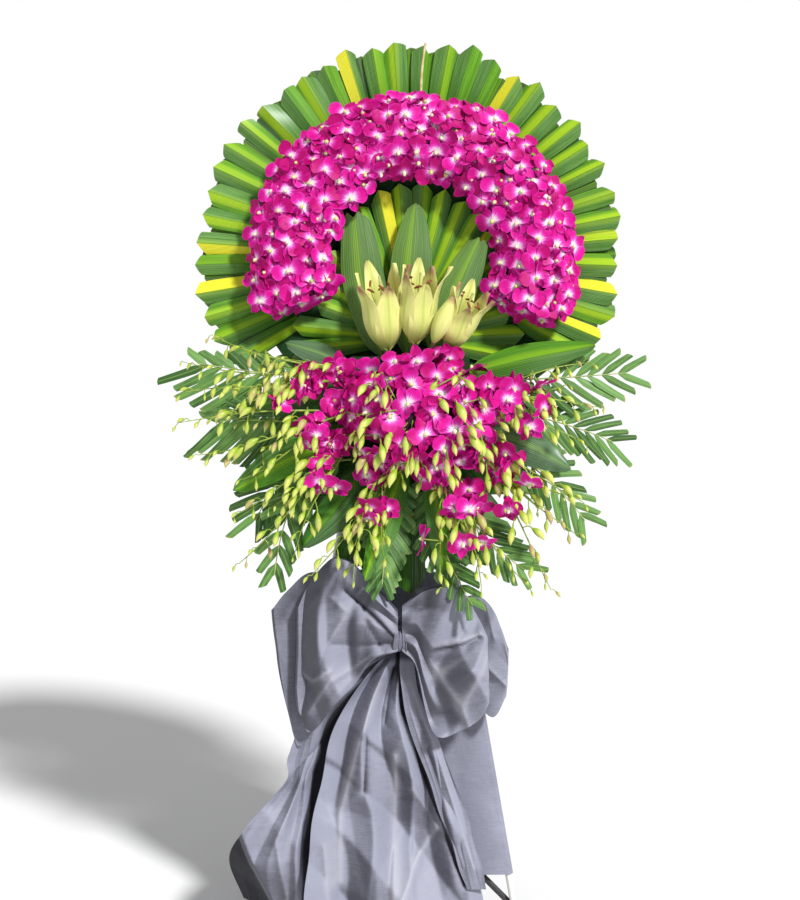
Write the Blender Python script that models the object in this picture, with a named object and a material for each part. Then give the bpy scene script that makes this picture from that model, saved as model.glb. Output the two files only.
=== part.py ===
"""Funeral wreath on a three-legged stand: leaf fan, orchid arch, lilies, fronds, bow and skirt.

Sizes are in metres. The wreath leans back on its stand, so most of it is laid out in the wreath's own
plane: across (to the viewer's right), up the slope, and forward (out of the plane, to the viewer). The
middle of the arch is the plane's zero. At the end everything is moved so that the origin is under the
middle of the whole object, on the floor.
"""

import math
import random

import bmesh
import bpy
import numpy as np

# Sizes of the whole
RING_HEIGHT = 1.30
LEAN = math.radians(8.0)
GAP = 0.0003
FORWARD = np.array([0.0, 0.0, 1.0])

# Stand
ROD_RADIUS = 0.006
ROD_SIDES = 10
STAND_MIDDLE = -0.0275
APEX_SLOPE = 0.081
LEG_SPREAD = 0.173
BACK_FOOT_DEPTH = 0.42
UPPER_BAR_SLOPE = -0.35
LOWER_BAR_SLOPE = -0.69
BAR_OVERHANG = -0.0015
BRACE_TRIM = 0.006
BRACE_LOW_SLOPE = -1.245
BRACE_HIGH_SLOPE = -0.86

# Foam pieces
DISC_RADIUS = 0.305
DISC_THICKNESS = 0.030
DISC_SIDES = 36
ARCH_START = math.radians(-27.5)
ARCH_END = math.radians(200.5)
PAD_PROFILE = ((0.180, 0.0003), (0.2365, 0.0003), (0.2365, 0.0240), (0.292, 0.0240), (0.292, 0.0450),
               (0.180, 0.0450))
BLOCK_LOW = (-0.106, -0.394, 0.0003)
BLOCK_HIGH = (0.110, -0.196, 0.1200)
HOLE_CLEARANCE = 0.0005
HOLE_DEPTH = 0.012
HOLE_CUTTER_LENGTH = 0.0264
HOLE_SIDES = 4
PAD_STATIONS = 12

# Leaf fan round the arch
FAN_LEAVES = 36
FAN_START = math.radians(-34.0)
FAN_END = math.radians(214.0)
FAN_RADII = (0.2415, 0.3990)
FAN_HALF_WIDTH = 0.0215
FAN_RISE = 0.0180
FAN_RIDGE = 0.0120
FAN_POINT = 0.013
FAN_LENGTH_SPREAD = (-0.012, 0.006)
FAN_WIDTH_SPREAD = (0.78, 1.02)
FAN_POINT_SPREAD = (0.4, 1.3)
FAN_TURN_SPREAD = 0.012
FAN_TWIST = 0.0030
BACK_RADII = (0.3150, 0.3870)
BACK_ROW_HEIGHT = 0.0013
BACK_LENGTH_SPREAD = (-0.018, 0.006)
BACK_CUT = ((0.18, 0.004), (0.80, 0.0))
BLADE = 0.0009

# Small fan inside the arch
INNER_HUB = (0.002, -0.155)
INNER_LEAVES = 9
INNER_START = math.radians(50.0)
INNER_END = math.radians(126.0)
INNER_LENGTH = 0.268
INNER_FORWARD = 0.0045
INNER_RISE = 0.013
INNER_ROOT = 0.008
INNER_HALF_WIDTHS = (0.0012, 0.0165)
INNER_POINT = 0.016
INNER_TWIST = 0.10
INNER_PAD_LOW = (-0.024, -0.183, 0.0006)
INNER_PAD_HIGH = (0.028, -0.143, 0.0075)

# Orchid arch
SECTORS = 5
CORE_STATIONS = 4
ROW_RADII = (0.163, 0.199, 0.236, 0.273, 0.309)
ROW_HEIGHTS = (0.0770, 0.0905, 0.0950, 0.0905, 0.0770)
ROW_TILTS = (-38.0, -16.0, 0.0, 16.0, 38.0)
END_RADII = (0.190, 0.236, 0.282)
BLOOM_PITCH = 0.0500
BLOOM_RADIUS = 0.0268
BLOOM_THROAT = 0.80
PETAL_ANGLES = (90, 168, 232, 308, 372, 450)
PETAL_SIZES = (0.92, 1.05, 0.95, 0.95, 1.05)
PETAL_LIFT = (-0.14, 0.04)
NOTCH_SIZE = 0.50
NOTCH_LIFT = -0.25
BLOOM_DISH = 0.15
END_HEIGHT = 0.064
END_SWING = 60.0
ROW_SPREAD = 0.003
TILT_SPREAD = 7.0
CORE_PROFILE = ((0.168, 0.0453), (0.304, 0.0453), (0.312, 0.0580), (0.288, 0.0760), (0.236, 0.0840),
                (0.184, 0.0760), (0.160, 0.0580))

# Orchid mound
MOUND_CENTRE = (0.022, -0.302, 0.1203)
MOUND_RADII = (0.136, 0.108, 0.066)
MOUND_BLOOMS = 34
MOUND_RINGS = ((1.0, 0.0), (0.94, 0.34), (0.66, 0.75), (0.28, 0.96))
MOUND_SIDES = 12
GOLDEN_ANGLE = math.radians(137.508)

# Fabric
FABRIC = 0.003
SKIRT_SLACK = 0.0013
SKIRT_HEM = 0.146
SKIRT_TOP = 0.673
HEM_FOLD = 0.012
TOP_FOLD = 0.0018
CORNER_POINTS = 4
CORNER_SWEEPS = ((160, 270), (270, 380), (20, 160))
SIDE_FOLDS = {"front": 7, "right": 5, "left": 5}
KNOT = (-0.017, -0.722)


def clear_scene():
    """Remove what a new Blender file holds."""
    for item in list(bpy.data.objects):
        bpy.data.objects.remove(item, do_unlink=True)


def unit(vector):
    """Return the vector, or each row of vectors, at length one."""
    vector = np.asarray(vector, float)
    return vector / np.linalg.norm(vector, axis=-1, keepdims=True)


def world(points):
    """Turn plane coordinates into world coordinates."""
    across, slope, forward = np.asarray(points, float).T
    sine, cosine = math.sin(LEAN), math.cos(LEAN)
    return np.column_stack((across, slope * sine - forward * cosine,
                            RING_HEIGHT + slope * cosine + forward * sine))


def plane(points):
    """Turn world coordinates into plane coordinates."""
    right, depth, height = np.asarray(points, float).T
    sine, cosine = math.sin(LEAN), math.cos(LEAN)
    height = height - RING_HEIGHT
    return np.column_stack((right, depth * sine + height * cosine, height * sine - depth * cosine))


# Solids: each is a pair of points and faces


def plate(points, polygons, offset):
    """Thicken a surface: the surface, a copy moved by offset, and walls round the free edges."""
    points = np.asarray(points, float)
    offset = np.broadcast_to(offset, points.shape)
    count = len(points)
    used = {(a, b) for loop in polygons for a, b in zip(loop, loop[1:] + loop[:1])}
    walls = [(b, a, a + count, b + count) for a, b in sorted(used) if (b, a) not in used]
    copies = [tuple(index + count for index in reversed(loop)) for loop in polygons]
    return np.concatenate((points - offset / 2, points + offset / 2)), list(polygons) + copies + walls


def grid_polygons(rows, columns, wrap=False):
    """Number the four-cornered faces of a grid; wrap joins the last column to the first."""
    last = columns if wrap else columns - 1
    return [(row * columns + column, row * columns + (column + 1) % columns,
             (row + 1) * columns + (column + 1) % columns, (row + 1) * columns + column)
            for row in range(rows - 1) for column in range(last)]


def sheet(grid, offset, wrap=False):
    """Thicken a grid of points."""
    grid = np.asarray(grid, float)
    rows, columns = grid.shape[:2]
    offset = np.broadcast_to(offset, grid.shape).reshape(-1, 3)
    return plate(grid.reshape(-1, 3), grid_polygons(rows, columns, wrap), offset)


def tube(path, radii, sides, turn=0.0):
    """Build rings along a path and close both ends; an end of radius zero is a point."""
    path = np.asarray(path, float)
    along = unit(np.gradient(path, axis=0))
    spare = np.eye(3)[np.argmin(np.abs(unit(path[-1] - path[0])))]
    first = unit(np.cross(along, spare))
    second = np.cross(along, first)
    angles = turn + np.arange(sides) * math.tau / sides
    points, rings = [], []
    for centre, radius, one, two in zip(path, radii, first, second):
        start = len(points)
        if radius == 0.0:
            points.append(centre)
            rings.append([start] * sides)
        else:
            points.extend(centre + radius * (math.cos(a) * one + math.sin(a) * two) for a in angles)
            rings.append(list(range(start, start + sides)))
    faces = []
    for low, high in zip(rings, rings[1:]):
        for side in range(sides):
            loop = [low[side], low[(side + 1) % sides], high[(side + 1) % sides], high[side]]
            faces.append(tuple(dict.fromkeys(loop)))
    for ring in (rings[0], rings[-1]):
        if len(set(ring)) > 2:
            faces.append(tuple(ring))
    return np.array(points), faces


def box(low, high):
    """Build a box between two corners."""
    corners = np.array([[(low, high)[i][0], (low, high)[j][1], (low, high)[k][2]]
                        for i in (0, 1) for j in (0, 1) for k in (0, 1)], float)
    return corners, [(0, 1, 3, 2), (4, 6, 7, 5), (0, 4, 5, 1), (2, 3, 7, 6), (0, 2, 6, 4), (1, 5, 7, 3)]


def swept_ring(profile, start, end, stations):
    """Sweep a profile of (radius, forward) round the plane's zero from one angle to another."""
    angles = np.linspace(start, end, stations)
    grid = np.array([[(r * math.cos(a), r * math.sin(a), w) for r, w in profile] for a in angles])
    sides = len(profile)
    ends = [tuple(range(sides)), tuple(range((stations - 1) * sides, stations * sides))]
    return grid.reshape(-1, 3), grid_polygons(stations, sides, wrap=True) + ends


def wedge_leaf(root, tip, across, root_half, tip_half, ridge, point):
    """Build a folded leaf with a narrow root and a cut end: its rib stands out past the end's corners."""
    root, tip, across = (np.asarray(value, float) for value in (root, tip, across))
    along = unit(tip - root)
    lower = tip - FORWARD * ridge
    points = [root - across * root_half, root + across * root_half,
              lower - across * tip_half, tip + along * point, lower + across * tip_half]
    return plate(points, [(0, 3, 2), (0, 1, 3), (1, 4, 3)], FORWARD * BLADE)


def pointed_blade(path, across, half_widths, ridge, facing, thickness=BLADE):
    """Build a folded leaf with a narrow flat root, folded rows, and a single point for a tip."""
    path = np.asarray(path, float)
    across = np.broadcast_to(across, path.shape)
    facing = np.broadcast_to(facing, path.shape)
    points, rows = [], []
    for number, (spot, side, out) in enumerate(zip(path, across, facing)):
        half, drop = half_widths[number], out * ridge[number]
        start = len(points)
        if number == len(path) - 1:
            points.append(spot)
        elif ridge[number] == 0.0:
            points.extend((spot - side * half, spot + side * half))
        else:
            points.extend((spot - side * half - drop, spot, spot + side * half - drop))
        rows.append(list(range(start, len(points))))
    polygons = []
    for low, high in zip(rows, rows[1:]):
        if len(low) == 2:
            polygons.append(tuple(low + high[::-1]))
        elif len(high) == 1:
            polygons += [(low[0], low[1], high[0]), (low[1], low[2], high[0])]
        else:
            polygons += [(low[0], low[1], high[1], high[0]), (low[1], low[2], high[2], high[1])]
    owner = [number for number, row in enumerate(rows) for _ in row]
    return plate(points, polygons, facing[owner] * thickness)


# Objects


def principled(name, colour, roughness):
    """Make a plain material."""
    material = bpy.data.materials.new(name)
    material.use_nodes = True
    shader = material.node_tree.nodes["Principled BSDF"]
    shader.inputs["Base Color"].default_value = (*colour, 1.0)
    shader.inputs["Roughness"].default_value = roughness
    material.diffuse_color = (*colour, 1.0)
    return material


def add_object(name, solid):
    """Make an object from one solid given in plane coordinates, with its faces outward."""
    points, faces = solid
    mesh = bpy.data.meshes.new(name)
    mesh.from_pydata(world(points).tolist(), [], faces)
    shape = bmesh.new()
    shape.from_mesh(mesh)
    bmesh.ops.recalc_face_normals(shape, faces=shape.faces)
    bmesh.ops.triangulate(shape, faces=shape.faces)
    shape.to_mesh(mesh)
    shape.free()
    item = bpy.data.objects.new(name, mesh)
    bpy.context.scene.collection.objects.link(item)
    return item


def combine(item, others, operation, solver):
    """Join or cut an object with a collection of others, then remove the others."""
    group = bpy.data.collections.new(item.name + "_others")
    bpy.context.scene.collection.children.link(group)
    for other in others:
        bpy.context.scene.collection.objects.unlink(other)
        group.objects.link(other)
    modifier = item.modifiers.new(operation.title(), "BOOLEAN")
    modifier.operation = operation
    modifier.operand_type = "COLLECTION"
    modifier.collection = group
    modifier.solver = solver
    graph = bpy.context.evaluated_depsgraph_get()
    mesh = bpy.data.meshes.new_from_object(item.evaluated_get(graph))
    item.modifiers.clear()
    item.data = mesh
    for other in others:
        bpy.data.objects.remove(other, do_unlink=True)
    bpy.data.collections.remove(group)
    tidy_mesh(mesh)


def tidy_mesh(mesh):
    """Split a joined mesh into triangles, merging points that coincide."""
    shape = bmesh.new()
    shape.from_mesh(mesh)
    bmesh.ops.remove_doubles(shape, verts=shape.verts, dist=1e-6)
    bmesh.ops.triangulate(shape, faces=shape.faces)
    shape.to_mesh(mesh)
    shape.free()


def make(name, solids, look, solver="MANIFOLD"):
    """Add a sub-part: its solids joined into one body, in its own material."""
    colour, roughness = look
    item = add_object(name, solids[0])
    if len(solids) > 1:
        others = [add_object(f"{name}_piece_{number}", solid) for number, solid in enumerate(solids[1:])]
        combine(item, others, "UNION", solver)
    item.data.materials.clear()
    item.data.materials.append(principled(name, colour, roughness))
    return item


PALE_METAL = ((0.80, 0.79, 0.74), 0.40)
DARK_METAL = ((0.05, 0.05, 0.05), 0.50)
FOAM = ((0.20, 0.33, 0.17), 0.90)
STRIPED = ((0.24, 0.40, 0.05), 0.35)
DEEP_GREEN = ((0.05, 0.13, 0.04), 0.40)
BRIGHT_GREEN = ((0.30, 0.48, 0.08), 0.40)
FROND_GREEN = ((0.13, 0.24, 0.09), 0.45)
MAGENTA = ((0.75, 0.03, 0.38), 0.50)
LILY = ((0.78, 0.76, 0.45), 0.45)
BUD_GREEN = ((0.62, 0.62, 0.16), 0.45)
FABRIC_GREY = ((0.20, 0.20, 0.23), 0.85)


# Stand


def leg_across(slope, side):
    """Return how far across a front leg is at a height on the slope; side is -1 left, 1 right."""
    return STAND_MIDDLE + side * LEG_SPREAD * (APEX_SLOPE - slope)


def cut_rod(start, end, start_plane, end_plane):
    """Build a rod between two planes, each given as (point, normal), in plane coordinates."""
    start, end = np.asarray(start, float), np.asarray(end, float)
    points, faces = tube([start, end], [ROD_RADIUS] * 2, ROD_SIDES)
    along = unit(end - start)
    for first, cut in ((0, start_plane), (ROD_SIDES, end_plane)):
        point, normal = (np.asarray(value, float) for value in cut)
        ring = points[first:first + ROD_SIDES]
        travel = ((point - ring) @ normal) / (along @ normal)
        points[first:first + ROD_SIDES] = ring + travel[:, None] * along
    return points, faces


def floor_plane():
    """Return the floor as a point and a normal in plane coordinates."""
    low, high = plane(np.array([[0.0, 0.0, 0.0], [0.0, 0.0, 1.0]]))
    return low, high - low


def leg_plane():
    """Return how far forward the front legs' middle line is."""
    return -DISC_THICKNESS - GAP - ROD_RADIUS


def behind_legs():
    """Return how far forward the middle line of a bar on the legs' backs is."""
    return leg_plane() - 2 * ROD_RADIUS - GAP


def build_stand():
    """Build the three legs, two crossbars, the slanting brace and the strut to the back leg."""
    floor_point, floor_normal = floor_plane()
    front = leg_plane()
    foot_slope = floor_point[1] - (front - floor_point[2]) * floor_normal[2] / floor_normal[1]
    for name, side in (("leg_front_left", -1), ("leg_front_right", 1)):
        apex = (leg_across(APEX_SLOPE, side), APEX_SLOPE, front)
        foot = (leg_across(foot_slope, side), foot_slope, front)
        mitre = ((STAND_MIDDLE + side * GAP / 2, 0, 0), (1, 0, 0))
        make(name, [cut_rod(apex, foot, mitre, (floor_point, floor_normal))], PALE_METAL)
    apex, foot = back_leg_ends()
    make("leg_back", [cut_rod(apex, foot, ((0, 0, front - ROD_RADIUS - GAP), (0, 0, 1)),
                              (floor_point, floor_normal))], PALE_METAL)
    for name, slope in (("crossbar_upper", UPPER_BAR_SLOPE), ("crossbar_lower", LOWER_BAR_SLOPE)):
        ends = [(leg_across(slope, side) + side * BAR_OVERHANG, slope, behind_legs()) for side in (-1, 1)]
        make(name, [tube(ends, [ROD_RADIUS] * 2, ROD_SIDES)], PALE_METAL)
    low = (leg_across(BRACE_LOW_SLOPE, 1) - BRACE_TRIM / 2, BRACE_LOW_SLOPE, behind_legs())
    high = (leg_across(BRACE_HIGH_SLOPE, -1) + BRACE_TRIM, BRACE_HIGH_SLOPE, behind_legs())
    make("brace", [tube([low, high], [ROD_RADIUS] * 2, ROD_SIDES)], DARK_METAL)
    build_strut(apex, foot)


def back_leg_ends():
    """Return the back leg's upper and lower middle points in plane coordinates."""
    apex = np.array([STAND_MIDDLE, APEX_SLOPE - 0.02, leg_plane() - ROD_RADIUS])
    foot = plane(np.array([[STAND_MIDDLE, BACK_FOOT_DEPTH, 0.0]]))[0]
    return apex, foot


def build_strut(apex, foot):
    """Build the level rod from the lower crossbar to the back leg."""
    start = world(np.array([(STAND_MIDDLE, LOWER_BAR_SLOPE, behind_legs())]))[0]
    top, low = world(np.array([apex, foot]))
    share = (top[2] - start[2]) / (top[2] - low[2])
    leg_depth = top[1] + share * (low[1] - top[1])
    lean_back = math.atan2(low[1] - top[1], top[2] - low[2])
    reach = ROD_RADIUS / math.cos(lean_back) + GAP
    near = start + np.array([0.0, ROD_RADIUS + GAP, 0.0])
    far = np.array([start[0], leg_depth - reach - ROD_RADIUS * math.tan(lean_back), start[2]])
    path = plane(np.array([near, far]))
    make("strut", [tube(path, [ROD_RADIUS] * 2, ROD_SIDES)], PALE_METAL)


# Stems and the holes they stand in

stem_holes = []


def stem_hole(root, direction, radius):
    """Note a hole in the foam block for a stem that starts at root and runs out along direction."""
    root, direction = np.asarray(root, float), unit(direction)
    wall = (radius + HOLE_CLEARANCE) / math.cos(math.pi / HOLE_SIDES)
    path = [root - direction * GAP, root + direction * HOLE_CUTTER_LENGTH]
    stem_holes.append(tube(path, [wall] * 2, HOLE_SIDES, math.pi / HOLE_SIDES))


def build_foam():
    """Build the disc, the horseshoe pad and the block with the stems' holes."""
    make("foam_disc", [disc()], FOAM)
    make("foam_arch", [swept_ring(PAD_PROFILE, ARCH_START, ARCH_END, PAD_STATIONS)], FOAM)
    block = make("foam_block", [box(BLOCK_LOW, BLOCK_HIGH)], FOAM)
    cutters = [add_object(f"hole_{number}", hole) for number, hole in enumerate(stem_holes)]
    combine(block, cutters, "DIFFERENCE", "MANIFOLD")


def disc():
    """Build the round foam disc as a prism."""
    angles = np.arange(DISC_SIDES) * math.tau / DISC_SIDES
    rims = [np.column_stack((DISC_RADIUS * np.cos(angles), DISC_RADIUS * np.sin(angles),
                             np.full(DISC_SIDES, forward))) for forward in (-DISC_THICKNESS, 0.0)]
    ring = list(range(DISC_SIDES))
    sides = [(i, (i + 1) % DISC_SIDES, DISC_SIDES + (i + 1) % DISC_SIDES, DISC_SIDES + i) for i in ring]
    return np.concatenate(rims), sides + [tuple(ring), tuple(i + DISC_SIDES for i in ring)]


# Leaves

STALK_HALF_WIDTHS = (0.0018, 0.0022)
STALK_RADIUS = 0.0020
CENTRE_RIDGE = 0.007
BROAD_RIDGE = 0.006
BROAD_RISES = {"left": 0.004, "right": 0.004, "bottom": 0.030}
STEM_OUT = 0.006

# Centre leaves: name, across, bend of the stalk, forward, middle, tip, half width

CENTRE_LEAVES = (
    ("centre_leaf_left", -0.050, -0.002, 0.031, (-0.080, -0.045, 0.033), (-0.098, 0.070, 0.036), 0.040),
    ("centre_leaf_middle", -0.002, 0.000, 0.043, (0.004, -0.025, 0.045), (0.013, 0.090, 0.047), 0.040),
    ("centre_leaf_right", 0.042, 0.003, 0.055, (0.092, -0.065, 0.057), (0.124, 0.016, 0.058), 0.034),
)


def heading(angle):
    """Return the direction at an angle in the plane, and the one a quarter turn on."""
    outward = np.array([math.cos(angle), math.sin(angle), 0.0])
    return outward, np.array([-outward[1], outward[0], 0.0])


def build_fan():
    """Build the ring of leaves as one folded sheet: a flat back row, and a front row folded over it.

    Each front leaf is joined to the back row along the inner edge, is flat there, and is folded along
    its rib at its cut end.
    """
    chance = random.Random(11)
    step = (FAN_END - FAN_START) / FAN_LEAVES
    points, facing, polygons = [], [], []
    for number in range(FAN_LEAVES + 1):
        outward, _ = heading(FAN_START + number * step)
        points += [outward * FAN_RADII[0], outward * BACK_RADII[0]]
        facing += [-outward, (0.0, 0.0, -1.0)]
    for number in range(FAN_LEAVES):
        base, after, first = 2 * number, 2 * number + 2, len(points)
        reach = BACK_RADII[1] + chance.uniform(*BACK_LENGTH_SPREAD)
        points += [heading(FAN_START + (number + share) * step)[0] * (reach - less)
                   for share, less in BACK_CUT]
        middle = FAN_START + (number + 0.5) * step + chance.uniform(-FAN_TURN_SPREAD, FAN_TURN_SPREAD)
        outward, side = heading(middle)
        twist = chance.uniform(-FAN_TWIST, FAN_TWIST)
        half = FAN_HALF_WIDTH * chance.uniform(*FAN_WIDTH_SPREAD)
        length = FAN_RADII[1] + chance.uniform(*FAN_LENGTH_SPREAD)
        points += [outward * length + side * half * edge + (0, 0, FAN_RISE - FAN_RIDGE + twist * edge)
                   for edge in (-1, 1)]
        point = FAN_POINT * chance.uniform(*FAN_POINT_SPREAD)
        points.append(outward * (length + point) + (0, 0, FAN_RISE))
        facing += [(0.0, 0.0, -1.0)] * 2 + [(0.0, 0.0, 1.0)] * 3
        polygons += [(base, base + 1, first, first + 1, after + 1, after), (base, after, first + 4),
                     (base, first + 4, first + 2), (after, first + 3, first + 4)]
    lifted = np.array(points) + (0.0, 0.0, BACK_ROW_HEIGHT)
    inner, outer = lifted, lifted + np.array(facing) * BLADE
    middle_surface = (inner + outer) / 2
    make("fan_leaves", [plate(middle_surface, polygons, outer - inner)], STRIPED)


def build_inner_fan():
    """Build the small fan of folded leaves that shows inside the arch."""
    chance = random.Random(12)
    hub = np.array([*INNER_HUB, INNER_FORWARD])
    solids = [box(INNER_PAD_LOW, INNER_PAD_HIGH)]
    for number in range(INNER_LEAVES):
        share = number / (INNER_LEAVES - 1)
        angle = INNER_START + share * (INNER_END - INNER_START)
        outward, side = heading(angle)
        length = INNER_LENGTH * (0.90 + 0.10 * math.sin(math.pi * share)) * chance.uniform(0.95, 1.02)
        if share > 0.75 or share < 0.1:
            length *= 0.90
        twist = chance.uniform(-INNER_TWIST, INNER_TWIST)
        across = side * math.cos(twist) + FORWARD * math.sin(twist)
        tip = hub + outward * length + FORWARD * INNER_RISE
        root = hub + outward * INNER_ROOT
        solids.append(wedge_leaf(root, tip, across, *INNER_HALF_WIDTHS, FAN_RIDGE, INNER_POINT))
    make("inner_fan", solids, BRIGHT_GREEN)


def pointed_leaf(root, base, middle, tip, half_width, ridge):
    """Build a broad pointed leaf with a narrow stalk that stands in the foam."""
    root, base, middle, tip = (np.asarray(value, float) for value in (root, base, middle, tip))
    path = np.array([root, base, base + (middle - base) * 0.50, middle + (tip - middle) * 0.25, tip])
    across = unit(np.cross(unit(np.gradient(path, axis=0)), FORWARD))
    widths = (*STALK_HALF_WIDTHS, half_width * 0.85, half_width, 0.0)
    ridges = (0.0, 0.0, ridge * 0.8, ridge, 0.0)
    return pointed_blade(path, across, widths, ridges, FORWARD)


def set_leaf(name, root, base, middle, tip, half_width, ridge, look):
    """Add a pointed leaf and its hole in the foam block."""
    make(name, [pointed_leaf(root, base, middle, tip, half_width, ridge)], look)
    stem_hole(root, np.subtract(base, root), STALK_RADIUS)


def build_centre_leaves():
    """Build the three large leaves that stand in the middle of the arch."""
    top = BLOCK_HIGH[1]
    for name, across, bend, forward, middle, tip, half_width in CENTRE_LEAVES:
        set_leaf(name, (across, top - HOLE_DEPTH, forward), (across + bend, top + HOLE_DEPTH, forward),
                 middle, tip, half_width, CENTRE_RIDGE, STRIPED)


# Broad leaves: name, block face, place on the face, forward, middle, tip, half width, look

BROAD_LEAVES = (
    ("broad_leaf_left_low", "left", -0.330, 0.066, (-0.235, -0.385), (-0.325, -0.440), 0.034, BRIGHT_GREEN),
    ("broad_leaf_left_mid", "left", -0.262, 0.070, (-0.215, -0.272), (-0.312, -0.297), 0.030, DEEP_GREEN),
    ("broad_leaf_left_high", "left", -0.215, 0.052, (-0.165, -0.190), (-0.228, -0.168), 0.022, FROND_GREEN),
    ("broad_leaf_bottom_left", "bottom", -0.075, 0.066, (-0.140, -0.485), (-0.195, -0.545), 0.032,
     DEEP_GREEN),
    ("broad_leaf_bottom_mid", "bottom", -0.010, 0.072, (-0.045, -0.510), (-0.080, -0.605), 0.026,
     BRIGHT_GREEN),
    ("broad_leaf_bottom_right", "bottom", 0.038, 0.066, (0.052, -0.505), (0.060, -0.592), 0.019,
     BRIGHT_GREEN),
    ("broad_leaf_right_high", "right", -0.222, 0.052, (0.225, -0.196), (0.345, -0.172), 0.028, BRIGHT_GREEN),
    ("broad_leaf_right_mid", "right", -0.322, 0.066, (0.220, -0.362), (0.298, -0.402), 0.034, FROND_GREEN),
)


def face_root(face, place, forward):
    """Return a stem's root inside the foam block, and the point where it leaves the face."""
    if face == "left":
        edge = BLOCK_LOW[0]
        return (edge + HOLE_DEPTH, place, forward), (edge - STEM_OUT, place, forward)
    if face == "right":
        edge = BLOCK_HIGH[0]
        return (edge - HOLE_DEPTH, place, forward), (edge + STEM_OUT, place, forward)
    edge = BLOCK_LOW[1]
    return (place, edge + HOLE_DEPTH, forward), (place, edge - STEM_OUT, forward)


def build_broad_leaves():
    """Build the broad leaves round the foam block."""
    for name, face, place, forward, middle, tip, half_width, look in BROAD_LEAVES:
        root, base = face_root(face, place, forward)
        rise = BROAD_RISES[face]
        set_leaf(name, root, base, (*middle, forward + rise / 2), (*tip, forward + rise), half_width,
                 BROAD_RIDGE, look)


# Fronds: name, block face, place on the face, forward, tip, pairs, leaflets' lengths on each side,
# forward bend

FRONDS = (
    ("frond_left_high", "left", -0.232, 0.030, (-0.395, -0.204), 8, (0.135, 0.058), 0.004),
    ("frond_left_mid", "left", -0.285, 0.048, (-0.358, -0.316), 9, (0.130, 0.062), 0.004),
    ("frond_left_low", "left", -0.350, 0.018, (-0.290, -0.500), 8, (0.075, 0.095), 0.004),
    ("frond_bottom_left", "left", -0.385, 0.030, (-0.250, -0.600), 8, (0.070, 0.075), 0.052),
    ("frond_bottom_mid", "bottom", -0.040, 0.042, (-0.050, -0.615), 8, (0.062, 0.062), 0.052),
    ("frond_bottom_right", "bottom", 0.034, 0.030, (0.115, -0.650), 8, (0.056, 0.065), 0.094),
    ("frond_right_low", "bottom", 0.088, 0.018, (0.215, -0.590), 8, (0.080, 0.070), 0.052),
    ("frond_right_mid", "right", -0.362, 0.042, (0.330, -0.500), 8, (0.070, 0.080), 0.004),
    ("frond_right_high", "right", -0.236, 0.030, (0.408, -0.222), 8, (0.085, 0.092), 0.004),
    ("frond_right_level", "right", -0.290, 0.018, (0.386, -0.352), 8, (0.080, 0.092), 0.004),
)
FROND_BLADE = 0.0010
FROND_ROOT_HALF_WIDTH = 0.0019
RIB_HALF_WIDTHS = (0.0024, 0.0012)
LEAFLET_ANGLES = (60.0, 28.0)
LEAFLET_ANGLE_SPREAD = 4.0
LEAFLET_LENGTH_SPREAD = (0.90, 1.08)
LEAFLET_DROP = 0.05
LEAFLET_NARROWING = 0.30
LEAFLET_SLANT = 0.006
FROND_STEM_RADIUS = 0.0022


def frond(root, base, tip, pairs, lengths, chance, bend):
    """Build a palm frond as one thin blade cut into leaflets to the rib."""
    root, base, tip = (np.asarray(value, float) for value in (root, base, tip))
    share = np.linspace(0.0, 1.0, pairs + 1)[:, None]
    middle = base + unit(base - root) * np.linalg.norm(tip - base) * 0.45
    rib = (1 - share) ** 2 * base + 2 * share * (1 - share) * middle + share ** 2 * tip
    rib[:, 2] += bend * share[:, 0] ** 2
    rib = np.concatenate(([root], rib))
    along = unit(np.gradient(rib, axis=0))
    across = unit(np.cross(along, FORWARD))
    half = np.array([FROND_ROOT_HALF_WIDTH, *np.linspace(*RIB_HALF_WIDTHS, pairs + 1)])[:, None]
    points = list(np.concatenate((rib - across * half, rib + across * half)))
    stations = pairs + 2
    polygons = [(row, row + 1, stations + row + 1, stations + row) for row in range(stations - 1)]
    for side, length in zip((-1, 1), lengths):
        first = 0 if side < 0 else stations
        for pair in range(1, pairs + 1):
            place = (pair - 1) / (pairs - 1)
            low, high = first + pair, first + pair + 1
            size = length * (0.80 + 0.30 * math.sin(math.pi * (0.10 + 0.75 * place)) - 0.30 * place)
            size *= chance.uniform(*LEAFLET_LENGTH_SPREAD)
            turn = np.interp(place, (0.0, 1.0), LEAFLET_ANGLES)
            turn = math.radians(turn + chance.uniform(-LEAFLET_ANGLE_SPREAD, LEAFLET_ANGLE_SPREAD))
            out = along[pair] * math.cos(turn) + side * across[pair] * math.sin(turn)
            far = (points[low] + points[high]) / 2 + out * size - FORWARD * LEAFLET_DROP * size
            spread = (points[high] - points[low]) * LEAFLET_NARROWING
            number = len(points)
            points.extend((far - spread, far + spread + out * LEAFLET_SLANT))
            loop = (low, number, number + 1, high)
            polygons.append(loop if side < 0 else tuple(reversed(loop)))
    return plate(points, polygons, FORWARD * FROND_BLADE)


def build_fronds():
    """Build the palm fronds, each on its own level."""
    chance = random.Random(13)
    for name, face, place, forward, tip, pairs, lengths, bend in FRONDS:
        root, base = face_root(face, place, forward)
        make(name, [frond(root, base, (*tip, forward), pairs, lengths, chance, bend)], FROND_GREEN)
        stem_hole(root, np.subtract(base, root), FROND_STEM_RADIUS)


# Blooms and buds


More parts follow.
